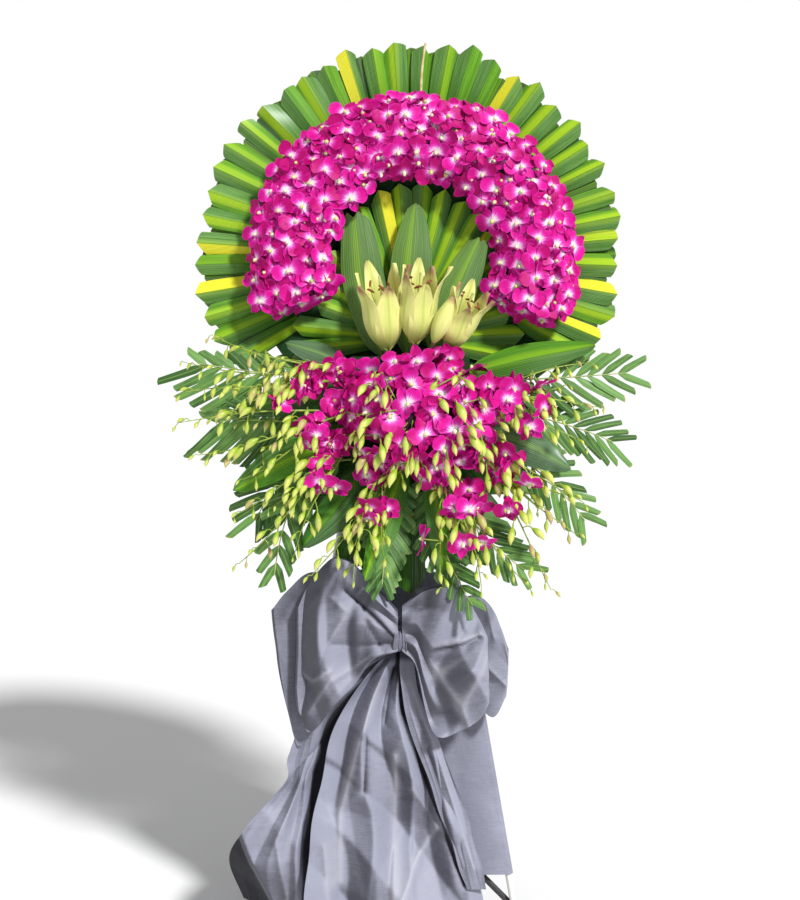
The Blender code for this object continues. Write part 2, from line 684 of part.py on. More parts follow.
def bloom(centre, normal, up, radius, chance):
    """Build an orchid bloom: two broad petals, three narrow ones, and a throat that runs back to a point."""
    normal = unit(normal)
    side = unit(np.cross(up, normal))
    up = np.cross(normal, side)
    rim = []
    for number in range(5):
        first, second = PETAL_ANGLES[number], PETAL_ANGLES[number + 1]
        for degrees, size, lift in ((first, PETAL_SIZES[number], chance.uniform(*PETAL_LIFT)),
                                    ((first + second) / 2, NOTCH_SIZE, NOTCH_LIFT)):
            angle = math.radians(degrees)
            rim.append(centre + radius * (size * math.cos(angle) * side + size * math.sin(angle) * up
                                          + lift * normal))
    points = [*rim, centre - normal * radius * BLOOM_DISH, centre - normal * radius * BLOOM_THROAT]
    faces = [(i, (i + 1) % 10, 10) for i in range(10)]
    for petal in range(0, 10, 2):
        before, after = (petal - 1) % 10, petal + 1
        faces += [(after, petal, before), (after, before, 11)]
    return np.array(points), faces


def build_arch():
    """Build the arch of blooms in lengths, each on its own core; blooms close the two open ends."""
    chance = random.Random(14)
    span = (ARCH_END - ARCH_START) / SECTORS
    for sector in range(SECTORS):
        start = ARCH_START + sector * span
        end = start + span
        trim = GAP / CORE_PROFILE[-1][0]
        solids = [swept_ring(CORE_PROFILE, start + trim, end - trim, CORE_STATIONS)]
        for radius, height, tilt in zip(ROW_RADII, ROW_HEIGHTS, ROW_TILTS):
            count = round(span * radius / BLOOM_PITCH)
            for number in range(count):
                angle = start + (number + 0.5 + chance.uniform(-0.08, 0.08)) * span / count
                solids.append(arch_bloom(angle, radius, height, tilt, 0.0, chance))
        if sector == 0:
            solids += [arch_bloom(start, radius, END_HEIGHT, 0.0, -END_SWING, chance) for radius in END_RADII]
        if sector == SECTORS - 1:
            solids += [arch_bloom(end, radius, END_HEIGHT, 0.0, END_SWING, chance) for radius in END_RADII]
        for solid in solids[1:]:
            if sector > 0:
                limit_solid(solid, start, 1.0)
            if sector < SECTORS - 1:
                limit_solid(solid, end, -1.0)
        make(f"orchid_arch_{sector + 1}", solids, MAGENTA)


def arch_bloom(angle, radius, height, tilt, swing, chance):
    """Build a bloom on the arch, tilted outward by one angle and along the arch by another, in degrees."""
    outward, along = heading(angle)
    tilt, swing = (math.radians(value + chance.uniform(-TILT_SPREAD, TILT_SPREAD)) for value in (tilt, swing))
    face = outward * math.sin(tilt) + FORWARD * math.cos(tilt)
    normal = face * math.cos(swing) + along * math.sin(swing)
    centre = outward * (radius + chance.uniform(-ROW_SPREAD, ROW_SPREAD))
    centre += FORWARD * (height + chance.uniform(-ROW_SPREAD, ROW_SPREAD)) + along * math.sin(swing) * 0.010
    up = np.array([chance.uniform(-0.5, 0.5), 1.0, 0.0])
    return bloom(centre, normal, up, BLOOM_RADIUS * chance.uniform(0.93, 1.05), chance)


def limit_solid(solid, angle, sign):
    """Keep a solid half a gap inside a sector's straight side; sign says which way is inside."""
    points = solid[0]
    normal = heading(angle)[1] * sign
    short = np.minimum(points @ normal - GAP / 2, 0.0)
    points -= short[:, None] * normal


def mound_core():
    """Build the low dome that the mound's blooms sit on."""
    turns = [math.tau * side / MOUND_SIDES for side in range(MOUND_SIDES)]
    shape = [(size * math.cos(turn), size * math.sin(turn), high)
             for size, high in MOUND_RINGS for turn in turns]
    points = np.array(MOUND_CENTRE) + np.array(MOUND_RADII) * shape
    faces = grid_polygons(len(MOUND_RINGS), MOUND_SIDES, wrap=True)
    top = (len(MOUND_RINGS) - 1) * MOUND_SIDES
    faces += [tuple(range(MOUND_SIDES)), tuple(range(top, top + MOUND_SIDES))]
    return points, faces


def build_mound():
    """Build the mound of blooms on the foam block's front."""
    chance = random.Random(15)
    solids = [mound_core()]
    for number in range(MOUND_BLOOMS):
        share = math.sqrt((number + 0.5) / MOUND_BLOOMS)
        angle = number * GOLDEN_ANGLE
        latitude = share * math.radians(80)
        direction = np.array([math.sin(latitude) * math.cos(angle), math.sin(latitude) * math.sin(angle),
                              math.cos(latitude)])
        normal = unit(direction * (1.0, 1.0, 1.4) + (0, 0, 0.15))
        centre = np.array(MOUND_CENTRE) + direction * MOUND_RADII + normal * 0.010
        lowest = MOUND_CENTRE[2] + BLOOM_RADIUS * 1.2 * math.hypot(*normal[:2]) + 0.002
        centre[2] = max(centre[2], lowest)
        up = np.array([chance.uniform(-0.5, 0.5), 1.0, 0.2])
        solids.append(bloom(centre, normal, up, BLOOM_RADIUS * chance.uniform(0.95, 1.12), chance))
    make("orchid_mound", solids, MAGENTA)


# Sprays: name, face, place, heading in degrees, spread in degrees, lengths

SPRAYS = (
    ("spray_left_high", "left", -0.232, 166.0, 24.0, (0.30, 0.20, 0.24)),
    ("spray_left", "left", -0.294, 192.0, 28.0, (0.30, 0.27, 0.16)),
    ("spray_left_low", "left", -0.352, 222.0, 26.0, (0.22, 0.27, 0.16)),
    ("spray_bottom", "bottom", -0.045, 254.0, 26.0, (0.22, 0.17, 0.13)),
    ("spray_bottom_right", "bottom", 0.060, 292.0, 30.0, (0.21, 0.17, 0.25)),
    ("spray_right_low", "right", -0.352, 322.0, 26.0, (0.27, 0.16, 0.22)),
    ("spray_right", "right", -0.270, 364.0, 32.0, (0.21, 0.24, 0.18)),
)
STEM_RINGS = 4
SPRAY_FORWARD = 0.097
SPRAY_STEM_RADII = (0.0028, 0.0017)
SPRAY_ARCH = 0.030
SPRAY_RISE = 0.028
SPRAY_DROOP = 0.10
TIP_BUD = (0.016, 0.026, 0.0060)
LONG_SPRAY = 0.245
BUD_PITCH = 0.048
BUD_LENGTHS = (0.042, 0.028)
BUD_RADII = (0.0085, 0.0063)
BUD_BELLY = 0.62
BUD_STRETCH = (0.34, 0.96)
STEM_HOLE_RADIUS = 0.0030


def build_sprays():
    """Build the sprays of drooping buds; those of a group share one stem in the foam."""
    chance = random.Random(16)
    for name, face, place, degrees, spread, lengths in SPRAYS:
        root, base = (np.array(value) for value in face_root(face, place, SPRAY_FORWARD))
        solids = [tube([root, base], [SPRAY_STEM_RADII[0]] * 2, 4)]
        for number, length in enumerate(lengths):
            share = number / (len(lengths) - 1) - 0.5
            angle = math.radians(degrees + share * spread)
            solids += spray(base - (base - root) * 0.08, angle, length, chance)
        make(name, solids, BUD_GREEN)
        stem_hole(root, base - root, STEM_HOLE_RADIUS)


def spray(start, angle, length, chance):
    """Build one arching stem with buds down both sides; the stem itself swells to the bud at its tip."""
    outward, aside = heading(angle)
    share = np.linspace(0.0, 1.0, STEM_RINGS)[:, None]
    lift = SPRAY_ARCH * np.sin(math.pi * np.minimum(share * 1.1, 1.0)) + SPRAY_RISE * share
    path = start + outward * share * length + FORWARD * lift
    path[:, 1] -= SPRAY_DROOP * share[:, 0] ** 2 * length
    along = unit(path[-1] - path[-2])
    belly, tip, radius = TIP_BUD
    path = np.concatenate((path, [path[-1] + along * belly, path[-1] + along * tip]))
    solids = [tube(path, [*np.linspace(*SPRAY_STEM_RADII, STEM_RINGS), radius, 0.0], 3)]
    if length > LONG_SPRAY:
        up = (chance.uniform(-0.4, 0.4), 1.0, 0.0)
        facing = unit(outward * 0.3 + np.array([0.0, 0.1, 1.0]))
        solids.append(bloom(path[1] + facing * 0.010, facing, up, BLOOM_RADIUS, chance))
    buds = max(4, round(length / BUD_PITCH))
    for place in np.linspace(*BUD_STRETCH, buds):
        spot = np.array([np.interp(place, share[:, 0], path[:STEM_RINGS, axis]) for axis in range(3)])
        aside = -aside
        out = unit(aside * 0.75 + outward * 0.40 + np.array([0.0, -0.45, chance.uniform(-0.05, 0.45)]))
        size, radius = (np.interp(place, (0.0, 1.0), ends) for ends in (BUD_LENGTHS, BUD_RADII))
        solids.append(bud(spot, out, size, radius))
    return solids


def bud(base, direction, length, radius):
    """Build a bud: a narrow foot in the stem, a belly past the middle, and a tip."""
    base = np.asarray(base, float)
    return tube([base, base + direction * length * BUD_BELLY, base + direction * length],
                [0.0, radius, 0.0], 3)


# Lilies: name, across, forward, neck, aim, length, spread

LILIES = (
    ("lily_left", -0.036, 0.086, (-0.038, -0.180, 0.091), (-0.13, 0.97, 0.20), 0.146, 0.036),
    ("lily_middle", 0.006, 0.100, (0.007, -0.174, 0.106), (0.10, 0.97, 0.16), 0.142, 0.037),
    ("lily_right", 0.066, 0.088, (0.069, -0.180, 0.094), (0.42, 0.86, 0.26), 0.122, 0.032),
)
LILY_STEM_RADII = (0.0028, 0.0028, 0.0042, 0.0085)
LILY_STEM_OUT = 0.008
LILY_CUP = 0.022
TEPAL_START = 0.016
TEPAL_OUT = 0.004
TEPAL_ROOT_HALF_WIDTH = 0.0025
TEPAL_RIDGE = 0.004
TEPAL_BLADE = 0.0012

# Tepals: width and tip as shares of the spread, and how much further out the belly is

OUTER_TEPAL = (0.40, 1.00, 0.0085)
INNER_TEPAL = (0.44, 0.85, 0.0)
STAMEN_RADII = (0.0014, 0.0016, 0.0)

# The closed bud: across, forward, neck, aim, then steps along it and radii

BUD_ACROSS = 0.038
BUD_FORWARD = 0.112
BUD_NECK = (0.045, -0.168, 0.138)
BUD_AIM = (0.36, 0.84, 0.25)
BUD_STEM_RADII = (0.0028, 0.0028, 0.0040)
BUD_HEAD_STEPS = (-0.004, 0.035, 0.085)
BUD_HEAD_RADII = (0.0030, 0.0120, 0.0)


def build_lilies():
    """Build three half-open lilies and a closed one, standing in the top of the foam block."""
    top = BLOCK_HIGH[1]
    for name, across, forward, neck, aim, length, spread in LILIES:
        root = np.array([across, top - HOLE_DEPTH, forward])
        out = np.array([across, top + LILY_STEM_OUT, forward])
        make(name, lily(root, out, np.array(neck), unit(aim), length, spread), LILY)
        stem_hole(root, out - root, STEM_HOLE_RADIUS)
    root = np.array([BUD_ACROSS, top - HOLE_DEPTH, BUD_FORWARD])
    out = np.array([BUD_ACROSS, top + LILY_STEM_OUT, BUD_FORWARD])
    stem = tube([root, out, BUD_NECK], BUD_STEM_RADII, 5)
    head = tube([np.array(BUD_NECK) + unit(BUD_AIM) * step for step in BUD_HEAD_STEPS], BUD_HEAD_RADII, 6)
    make("lily_bud", [stem, head], LILY)
    stem_hole(root, out - root, STEM_HOLE_RADIUS)


def lily(root, out, neck, aim, length, spread):
    """Build a lily: a stem, a neck, six tepals that open at their tips, and three stamens."""
    side = unit(np.cross(aim, FORWARD))
    other = np.cross(side, aim)
    solids = [tube([root, out, neck, neck + aim * LILY_CUP], LILY_STEM_RADII, 5)]
    for number in range(6):
        angle = math.tau * (number + 0.25) / 6
        width, reach, lift = (OUTER_TEPAL, INNER_TEPAL)[number % 2]
        radial = side * math.cos(angle) + other * math.sin(angle)
        across = unit(np.cross(radial, aim))
        start = neck + aim * TEPAL_START + radial * TEPAL_OUT
        belly = neck + aim * length * 0.52 + radial * (spread * 0.38 + lift)
        tip = neck + aim * length + radial * spread * reach
        facing = unit(np.cross(unit(tip - start), across))
        facing = facing * math.copysign(1.0, facing @ radial)
        widths = (TEPAL_ROOT_HALF_WIDTH, spread * width, 0.0)
        solids.append(pointed_blade([start, belly, tip], across, widths, (0.0, TEPAL_RIDGE, 0.0), facing,
                                    TEPAL_BLADE))
    for number in range(3):
        angle = math.tau * (number + 0.5) / 3
        radial = side * math.cos(angle) + other * math.sin(angle)
        solids.append(tube([neck + aim * 0.012, neck + aim * length * 0.72 + radial * 0.010,
                            neck + aim * length * 0.84 + radial * 0.012], STAMEN_RADII, 3))
    return solids


# Skirt and bow


def skirt_ring(height):
    """Return the skirt's middle line at a height, as world points: round corners and shallow folds."""
    front = leg_plane()
    slope = (height - RING_HEIGHT - front * math.sin(LEAN)) / math.cos(LEAN)
    corners = [world(np.array([(leg_across(slope, side), slope, front)]))[0] for side in (1, -1)]
    top, low = world(np.array(back_leg_ends()))
    share = (top[2] - height) / (top[2] - low[2])
    corners.append(top + (low - top) * share)
    wrap = ROD_RADIUS + GAP + FABRIC / 2 + SKIRT_SLACK
    right, left, back = (corner[:2] for corner in corners)
    points = []
    for centre, sweep in zip((left, right, back), CORNER_SWEEPS):
        for degrees in np.linspace(*sweep, CORNER_POINTS):
            angle = math.radians(degrees)
            points.append((centre[0] + wrap * math.cos(angle), centre[1] + wrap * math.sin(angle)))
    return np.array(points)


def skirt_grid():
    """Return the skirt's middle surface: rings from hem to top, each corner and side followed in turn."""
    chance = random.Random(17)
    waves = [[chance.uniform(0.3, 1.0) * (number % 2) for number in range(count)]
             for count in SIDE_FOLDS.values()]
    rows = []
    for height, deep in ((SKIRT_HEM, HEM_FOLD), (SKIRT_TOP, TOP_FOLD)):
        corners = skirt_ring(height)
        row = []
        for side, wave in enumerate(waves):
            arc = corners[side * CORNER_POINTS:(side + 1) * CORNER_POINTS]
            row.extend(arc)
            start, end = arc[-1], corners[(side + 1) * CORNER_POINTS % len(corners)]
            run = end - start
            outward = np.array([run[1], -run[0]]) / np.linalg.norm(run)
            for share, swell in zip(np.linspace(0.0, 1.0, len(wave) + 2)[1:-1], wave):
                row.append(start + run * share + outward * deep * swell)
        rows.append([(x, y, height) for x, y in row])
    return np.array(rows)


def ring_normals(grid):
    """Return level outward normals of rings of points that run counter-clockwise seen from above."""
    run = np.roll(grid, -1, axis=1) - np.roll(grid, 1, axis=1)
    normal = np.stack((run[..., 1], -run[..., 0], np.zeros(run.shape[:2])), axis=-1)
    return unit(normal)


def build_skirt():
    """Build the fabric tube round the three legs, open at its top and its hem."""
    grid = skirt_grid()
    points, faces = sheet(grid, ring_normals(grid) * FABRIC, wrap=True)
    make("skirt", [(plane(points), faces)], FABRIC_GREY)


# Each loop: side, forward of the far and the near layer, crease, and an outline of (out, upper edge,
# lower edge)

LOOP_OUTLINES = {
    "bow_loop_front_left": (-1, 0.0420, 0.0860, 0.0052,
                            ((0.000, 0.018, -0.018), (0.055, 0.078, -0.058), (0.118, 0.148, -0.130),
                             (0.170, 0.098, -0.192), (0.190, 0.060, -0.150))),
    "bow_loop_back_left": (-1, 0.0180, 0.0330, 0.0015,
                           ((0.000, 0.014, -0.014), (0.080, 0.070, -0.075), (0.150, 0.125, -0.150),
                            (0.200, 0.090, -0.203), (0.230, 0.052, -0.150))),
    "bow_loop_front_right": (1, 0.0420, 0.0860, 0.0052,
                             ((0.000, 0.018, -0.018), (0.040, 0.086, -0.070), (0.074, 0.094, -0.176),
                              (0.125, 0.070, -0.145), (0.148, 0.004, -0.108))),
    "bow_loop_back_right": (1, 0.0180, 0.0330, 0.0015,
                            ((0.000, 0.014, -0.014), (0.070, 0.050, -0.060), (0.125, 0.078, -0.110),
                             (0.165, 0.050, -0.150), (0.192, -0.020, -0.110))),
}

KNOT_HALF_WIDTH = 0.020
KNOT_HALF_HEIGHT = 0.030
KNOT_BACK = -0.0234
KNOT_FRONT = 0.094

# Across a loop: how much each column takes of the crease. Along it: the share of the full opening at
# each row, and the thickness direction as (sideways, forward)

LOOP_WAVE = np.array([0.0, 1.0, -0.8, 0.3])
LOOP_OPENING = (1.00, 0.95, 0.82, 0.55, 0.40)
LOOP_NORMALS = ((0.0, 1.0), (0.25, 1.0), (0.25, 1.0), (0.25, 1.0), (1.0, 0.45))


def bow_loop(side, far, near, crease, outline):
    """Build a ribbon loop: out along its far layer, round the fold, and back along its near layer."""
    columns = np.linspace(0.0, 1.0, len(LOOP_WAVE))
    order = range(len(outline))
    rows, normals = [], []
    for sign, indexes in ((-1.0, order), (1.0, reversed(order))):
        for index in indexes:
            distance, high, low = outline[index]
            wave = LOOP_WAVE * crease * sign * min(1.0, 2.2 * distance / outline[-1][0])
            forward = (far + near) / 2 + sign * LOOP_OPENING[index] * (near - far) / 2 + wave
            out = KNOT[0] + side * (KNOT_HALF_WIDTH + GAP + distance)
            slope = KNOT[1] + np.interp(columns, (0.0, 1.0), (high, low))
            rows.append([(out, height, level) for height, level in zip(slope, forward)])
            sideways, ahead = LOOP_NORMALS[index]
            normals.append([unit((side * sideways, 0.0, sign * ahead))] * len(columns))
    return sheet(rows, np.array(normals) * FABRIC)


def build_bow():
    """Build the bow's knot and four loops."""
    low = (KNOT[0] - KNOT_HALF_WIDTH, KNOT[1] - KNOT_HALF_HEIGHT, KNOT_BACK)
    high = (KNOT[0] + KNOT_HALF_WIDTH, KNOT[1] + KNOT_HALF_HEIGHT, KNOT_FRONT)
    make("bow_knot", [box(low, high)], FABRIC_GREY)
    for name, (side, far, near, crease, outline) in LOOP_OUTLINES.items():
        make(name, [bow_loop(side, far, near, crease, outline)], FABRIC_GREY)


# Each tail: level, crease, then rows of (height on the slope, left edge, right edge)

TAIL_WAVE = np.array([0.0, 1.0, -1.0, 0.8, -0.6, 0.0])
TAILS = {
    "bow_tail_centre": (-0.0035, 0.0035, ((-0.7525, -0.034, 0.002), (-0.861, -0.128, 0.030),
                                          (-1.000, -0.168, 0.082), (-1.255, -0.197, 0.148))),
    "bow_tail_left": (-0.0150, 0.0025, ((-0.7525, -0.036, -0.020), (-0.860, -0.190, -0.150),
                                        (-1.000, -0.240, -0.196), (-1.135, -0.342, -0.214),
                                        (-1.245, -0.325, -0.217))),
    "bow_tail_right": (0.0085, 0.0020, ((-0.7525, -0.016, 0.002), (-0.842, -0.011, 0.026),
                                        (-1.000, 0.041, 0.091), (-1.190, 0.108, 0.146))),
}


def build_tails():
    """Build the three tails that hang from the knot over the skirt."""
    for name, (level, crease, edges) in TAILS.items():
        rows = []
        for number, (slope, left, right) in enumerate(edges):
            across = np.linspace(left, right, len(TAIL_WAVE))
            forward = level + TAIL_WAVE * crease * min(1.0, 0.25 + 0.4 * number)
            rows.append([(out, slope, ahead) for out, ahead in zip(across, forward)])
        make(name, [sheet(rows, FORWARD * FABRIC)], FABRIC_GREY)


def settle_on_floor():
    """Move every object so that the origin is under the middle of the whole, on the floor."""
    corners = np.array([vertex.co for item in bpy.data.objects for vertex in item.data.vertices])
    low, high = corners.min(axis=0), corners.max(axis=0)
    shift = np.array([-(low[0] + high[0]) / 2, -(low[1] + high[1]) / 2, -low[2]])
    for item in bpy.data.objects:
        item.data.vertices.foreach_set("co", (np.array([v.co for v in item.data.vertices]) + shift).ravel())
        item.data.update()


def main():
    """Build the whole wreath."""
    clear_scene()
    build_stand()
    build_fan()
    build_inner_fan()
    build_centre_leaves()
    build_broad_leaves()
    build_fronds()
    build_arch()
    build_mound()
    build_sprays()
    build_lilies()
    build_foam()
    build_skirt()
    build_bow()
    build_tails()
    settle_on_floor()


main()
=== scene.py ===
"""Looks of the standing funeral wreath: leaf fans, orchids, lilies, bud sprays, fronds, bow, skirt and stand.

Sizes are in metres. Most pieces are worked out in the wreath's own plane, which leans back on its stand:
across (to the viewer's right), up the slope, and forward (out of the plane, to the viewer). The middle of the
orchid arch is the plane's zero.
"""

import math

import bmesh
import bpy
import numpy as np
from mathutils import Matrix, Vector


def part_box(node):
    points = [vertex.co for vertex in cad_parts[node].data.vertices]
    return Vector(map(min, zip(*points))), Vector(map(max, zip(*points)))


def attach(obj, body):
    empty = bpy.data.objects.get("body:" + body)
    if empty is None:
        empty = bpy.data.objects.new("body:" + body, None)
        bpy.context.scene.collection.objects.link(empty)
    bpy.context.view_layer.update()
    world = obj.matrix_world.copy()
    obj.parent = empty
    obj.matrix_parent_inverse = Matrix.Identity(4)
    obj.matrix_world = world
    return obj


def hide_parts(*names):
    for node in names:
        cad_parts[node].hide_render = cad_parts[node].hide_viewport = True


bl_info = {
    "name": "Funeral wreath",
    "version": (1, 0, 0),
    "blender": (4, 5, 0),
    "location": "View3D > Sidebar > Wreath",
    "description": "Builds the looks of a standing funeral wreath round its packed frame",
    "category": "Object",
}

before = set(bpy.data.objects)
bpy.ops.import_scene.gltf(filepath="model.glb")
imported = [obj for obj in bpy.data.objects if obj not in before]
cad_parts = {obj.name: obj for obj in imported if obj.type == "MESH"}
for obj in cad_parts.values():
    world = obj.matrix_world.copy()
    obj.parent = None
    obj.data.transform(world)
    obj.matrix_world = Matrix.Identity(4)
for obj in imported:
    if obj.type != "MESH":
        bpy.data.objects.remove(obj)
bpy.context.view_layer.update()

# Lie of the wreath's plane

LEAN = math.radians(8.0)
RING_HEIGHT = 1.3
DISC_MIDDLE = -0.015
FORWARD = np.array([0.0, 0.0, 1.0])
UP_SLOPE = np.array([0.0, 1.0, 0.0])
disc_low, disc_high = (np.array(corner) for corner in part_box("foam_disc"))
SHIFT = np.array([(disc_low[0] + disc_high[0]) / 2,
                  (disc_low[1] + disc_high[1]) / 2 + DISC_MIDDLE * math.cos(LEAN), 0.0])

# Camera, in the wreath's plane

EYE = (-0.017, -0.367, 3.2)
VIEW_HEIGHT = 1.71
SENSOR = 24.0
FAR_CLIP = 60.0

# Stage: the studio's glow on the pieces, the key light and the floor

AMBIENT = 0.4
KEY_ENERGY = 3.5
KEY_ANGLE = math.radians(7.0)
KEY_FROM = (0.72, -1.0, 1.1)
KEY_PLACE = (0.0, 0.0, 4.0)
FLOOR_CORNERS = ((-14.0, -8.0, 0.0), (14.0, -8.0, 0.0), (14.0, 20.0, 0.0), (-14.0, 20.0, 0.0))

# Foam block that the stems stand in: its corners, and how far a stem goes in and first stands out

BLOCK_LOW = (-0.106, -0.394)
BLOCK_HIGH = (0.11, -0.196)
BLOCK_TOP = BLOCK_HIGH[1]
HOLE_DEPTH = 0.012
STEM_OUT = 0.006

# Bow's middle

KNOT = (-0.017, -0.722)

# Seeds of the draws, one for each group, so that every build comes out the same

SEEDS = {"fans": 21, "backing": 22, "fronds": 23, "orchids": 24, "lilies": 25, "sprays": 26, "skirt": 27,
         "bow": 28}


def to_row(points):
    """Turn plane coordinates into the frame's: depth is slope·sin(lean) − forward·cos(lean), height is
    ring height + slope·cos(lean) + forward·sin(lean)."""
    across, slope, forward = np.moveaxis(np.asarray(points, float), -1, 0)
    depth = slope * math.sin(LEAN) - forward * math.cos(LEAN)
    height = RING_HEIGHT + slope * math.cos(LEAN) + forward * math.sin(LEAN)
    return np.stack((across, depth, height), axis=-1) + SHIFT


def unit(vectors):
    """Return each vector at length one."""
    vectors = np.asarray(vectors, float)
    return vectors / np.maximum(np.linalg.norm(vectors, axis=-1, keepdims=True), 1e-12)


def headings(angles):
    """Return the directions at angles in the plane, and the ones a quarter turn on."""
    angles = np.asarray(angles, float)
    outward = np.stack((np.cos(angles), np.sin(angles), np.zeros_like(angles)), axis=-1)
    return outward, np.stack((-outward[..., 1], outward[..., 0], outward[..., 2]), axis=-1)


def evenly(count):
    """Return count even steps from 0 to 1."""
    return np.linspace(0.0, 1.0, count)


def crown(aim, angles):
    """Return the directions square to an aim at angles round it."""
    side = unit(np.cross(aim, FORWARD))
    return side * np.cos(angles)[:, None] + np.cross(side, aim) * np.sin(angles)[:, None]


def smooth_rows(rows, count):
    """Carry a smooth curve through rows of numbers: a Catmull-Rom spline at count even steps."""
    rows = np.asarray(rows, float)
    padded = np.concatenate((2 * rows[:1] - rows[1:2], rows, 2 * rows[-1:] - rows[-2:-1]))
    place = np.linspace(0.0, len(rows) - 1.0, count)
    first = np.minimum(place.astype(int), len(rows) - 2)
    t = (place - first)[:, None]
    a, b, c, d = (padded[first + step] for step in range(4))
    square, cube = 2 * a - 5 * b + 4 * c - d, 3 * b - 3 * c + d - a
    return 0.5 * (2 * b + (c - a) * t + square * t ** 2 + cube * t ** 3)


def ease(value, low, high):
    """Rise smoothly from 0 at low to 1 at high: 3t² − 2t³."""
    t = np.clip((np.asarray(value, float) - low) / (high - low), 0.0, 1.0)
    return t * t * (3 - 2 * t)


def along_path(path, place):
    """Return the points at places, from 0 to 1, along a path of points."""
    steps = evenly(len(path))
    return np.stack([np.interp(place, steps, path[:, axis]) for axis in range(3)], axis=-1)


# Meshes; points nearer to each other than this are joined

JOINED = 2e-6


def lattice(count, rows, columns, wrap):
    """Number the four-cornered faces of count grids of points; wrap closes the columns into a ring."""
    row, column = np.meshgrid(np.arange(rows - 1), np.arange(columns if wrap else columns - 1), indexing="ij")
    after = (column + 1) % columns
    faces = np.stack((row * columns + column, row * columns + after,
                      (row + 1) * columns + after, (row + 1) * columns + column), axis=-1).reshape(-1, 4)
    return (faces + (np.arange(count) * rows * columns)[:, None, None]).reshape(-1, 4)


class Shapes:
    """Closed sheets and tubes gathered for one mesh. Each point keeps its place across and along its own
    sheet, a tone and a mark. A tone is drawn by chance, or paints light and shade on a fabric by how far it
    is turned to the light. A mark tells a sheet of another kind, or paints a highlight on a fabric's ridge
    and shade in its furrow."""

    def __init__(self):
        self.parts = []
        self.count = 0

    def add(self, points, faces, across, along, tone, mark, slot):
        """Keep grids of points of shape (grids, rows, columns, 3)."""
        size = points.shape[:3]
        own = [value if np.ndim(value) == 3 else np.reshape(value, (-1, 1, 1)) for value in (tone, mark)]
        notes = [np.broadcast_to(value, size).ravel() for value in (across, along, *own)]
        self.parts.append((points.reshape(-1, 3), faces + self.count, np.stack(notes, axis=-1),
                           np.full(len(faces), slot)))
        self.count += size[0] * size[1] * size[2]

    def sheets(self, grids, thickness, tone=0.5, mark=0.0, slot=0):
        """Thicken grids of points both ways along their normals, and close them all round."""
        grids = np.asarray(grids, float)
        count, rows, columns = grids.shape[:3]
        normal = unit(np.cross(np.gradient(grids, axis=2), np.gradient(grids, axis=1)))
        front, back = grids + normal * thickness / 2, grids - normal * thickness / 2
        ring = np.concatenate((front, back[:, :, ::-1]), axis=2)
        across = evenly(columns)
        along = evenly(rows)[:, None]
        column = np.arange(columns - 1)
        strip = np.stack((column, column + 1, 2 * columns - 2 - column, 2 * columns - 1 - column), axis=-1)
        strips = np.concatenate((strip, strip + (rows - 1) * 2 * columns))
        strips = (strips + (np.arange(count) * rows * 2 * columns)[:, None, None]).reshape(-1, 4)
        tone, mark = (np.concatenate((value, value[:, :, ::-1]), axis=2) if np.ndim(value) == 3 else value
                      for value in (tone, mark))
        faces = np.concatenate((lattice(count, rows, 2 * columns, True), strips))
        self.add(ring, faces, np.concatenate((across, across[::-1])), along, tone, mark, slot)

    def rings(self, rings, tone=0.5, mark=0.0, slot=0):
        """Skin rings of points of shape (tubes, rings, sides, 3), and close both ends on a point."""
        low, high = (np.broadcast_to(rings[:, [end]].mean(axis=2, keepdims=True), rings[:, [end]].shape)
                     for end in (0, -1))
        rings = np.concatenate((low, rings, high), axis=1)
        count, rows, sides = rings.shape[:3]
        along = np.clip(np.arange(-1, rows - 1) / max(rows - 3, 1), 0.0, 1.0)[:, None]
        faces = lattice(count, rows, sides, True)
        self.add(rings, faces, evenly(sides), along, tone, mark, slot)

    def tubes(self, paths, radii, sides, tone=0.5, mark=0.0, slot=0, flat=1.0):
        """Carry a circle along each path; flat squeezes it the second way."""
        paths = np.asarray(paths, float)
        along = unit(np.gradient(paths, axis=1))
        chord = unit(paths[:, -1] - paths[:, 0])
        spare = np.eye(3)[np.argmin(np.abs(chord), axis=-1)][:, None]
        first = unit(np.cross(along, spare))
        second = np.cross(along, first)
        turn = np.arange(sides) * math.tau / sides
        radii = np.broadcast_to(radii, paths.shape[:2])[..., None, None]
        spokes = np.cos(turn)[:, None] * first[:, :, None] + flat * np.sin(turn)[:, None] * second[:, :, None]
        self.rings(paths[:, :, None] + radii * spokes, tone, mark, slot)

    def build(self, name, materials, nodes=(), in_plane=True, sharp=60.0):
        """Make the object: points joined, faces outward, smooth but for its sharp edges."""
        points, faces, notes, slots = (np.concatenate(part) for part in zip(*self.parts))
        mesh = bpy.data.meshes.new(name)
        mesh.vertices.add(len(points))
        mesh.vertices.foreach_set("co", (to_row(points) if in_plane else points).ravel())
        mesh.loops.add(faces.size)
        mesh.loops.foreach_set("vertex_index", faces.ravel())
        mesh.polygons.add(len(faces))
        mesh.polygons.foreach_set("loop_start", np.arange(0, faces.size, 4))
        mesh.polygons.foreach_set("material_index", slots)
        mesh.update(calc_edges=True)
        mesh.uv_layers.new(name="Place").data.foreach_set("uv", notes[faces.ravel(), :2].ravel())
        for column, attribute in ((2, "tone"), (3, "mark")):
            mesh.attributes.new(attribute, "FLOAT", "POINT").data.foreach_set("value", notes[:, column])
        shape = bmesh.new()
        shape.from_mesh(mesh)
        bmesh.ops.remove_doubles(shape, verts=shape.verts, dist=JOINED)
        bmesh.ops.recalc_face_normals(shape, faces=shape.faces)
        shape.to_mesh(mesh)
        shape.free()
        mesh.shade_smooth()
        mesh.set_sharp_from_angle(angle=math.radians(sharp))
        piece = bpy.data.objects.new(name, mesh)
        bpy.context.scene.collection.objects.link(piece)
        for material in materials:
            mesh.materials.append(material)
        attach(piece, "root")
        if nodes:
            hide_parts(*nodes)
        return piece


# Materials


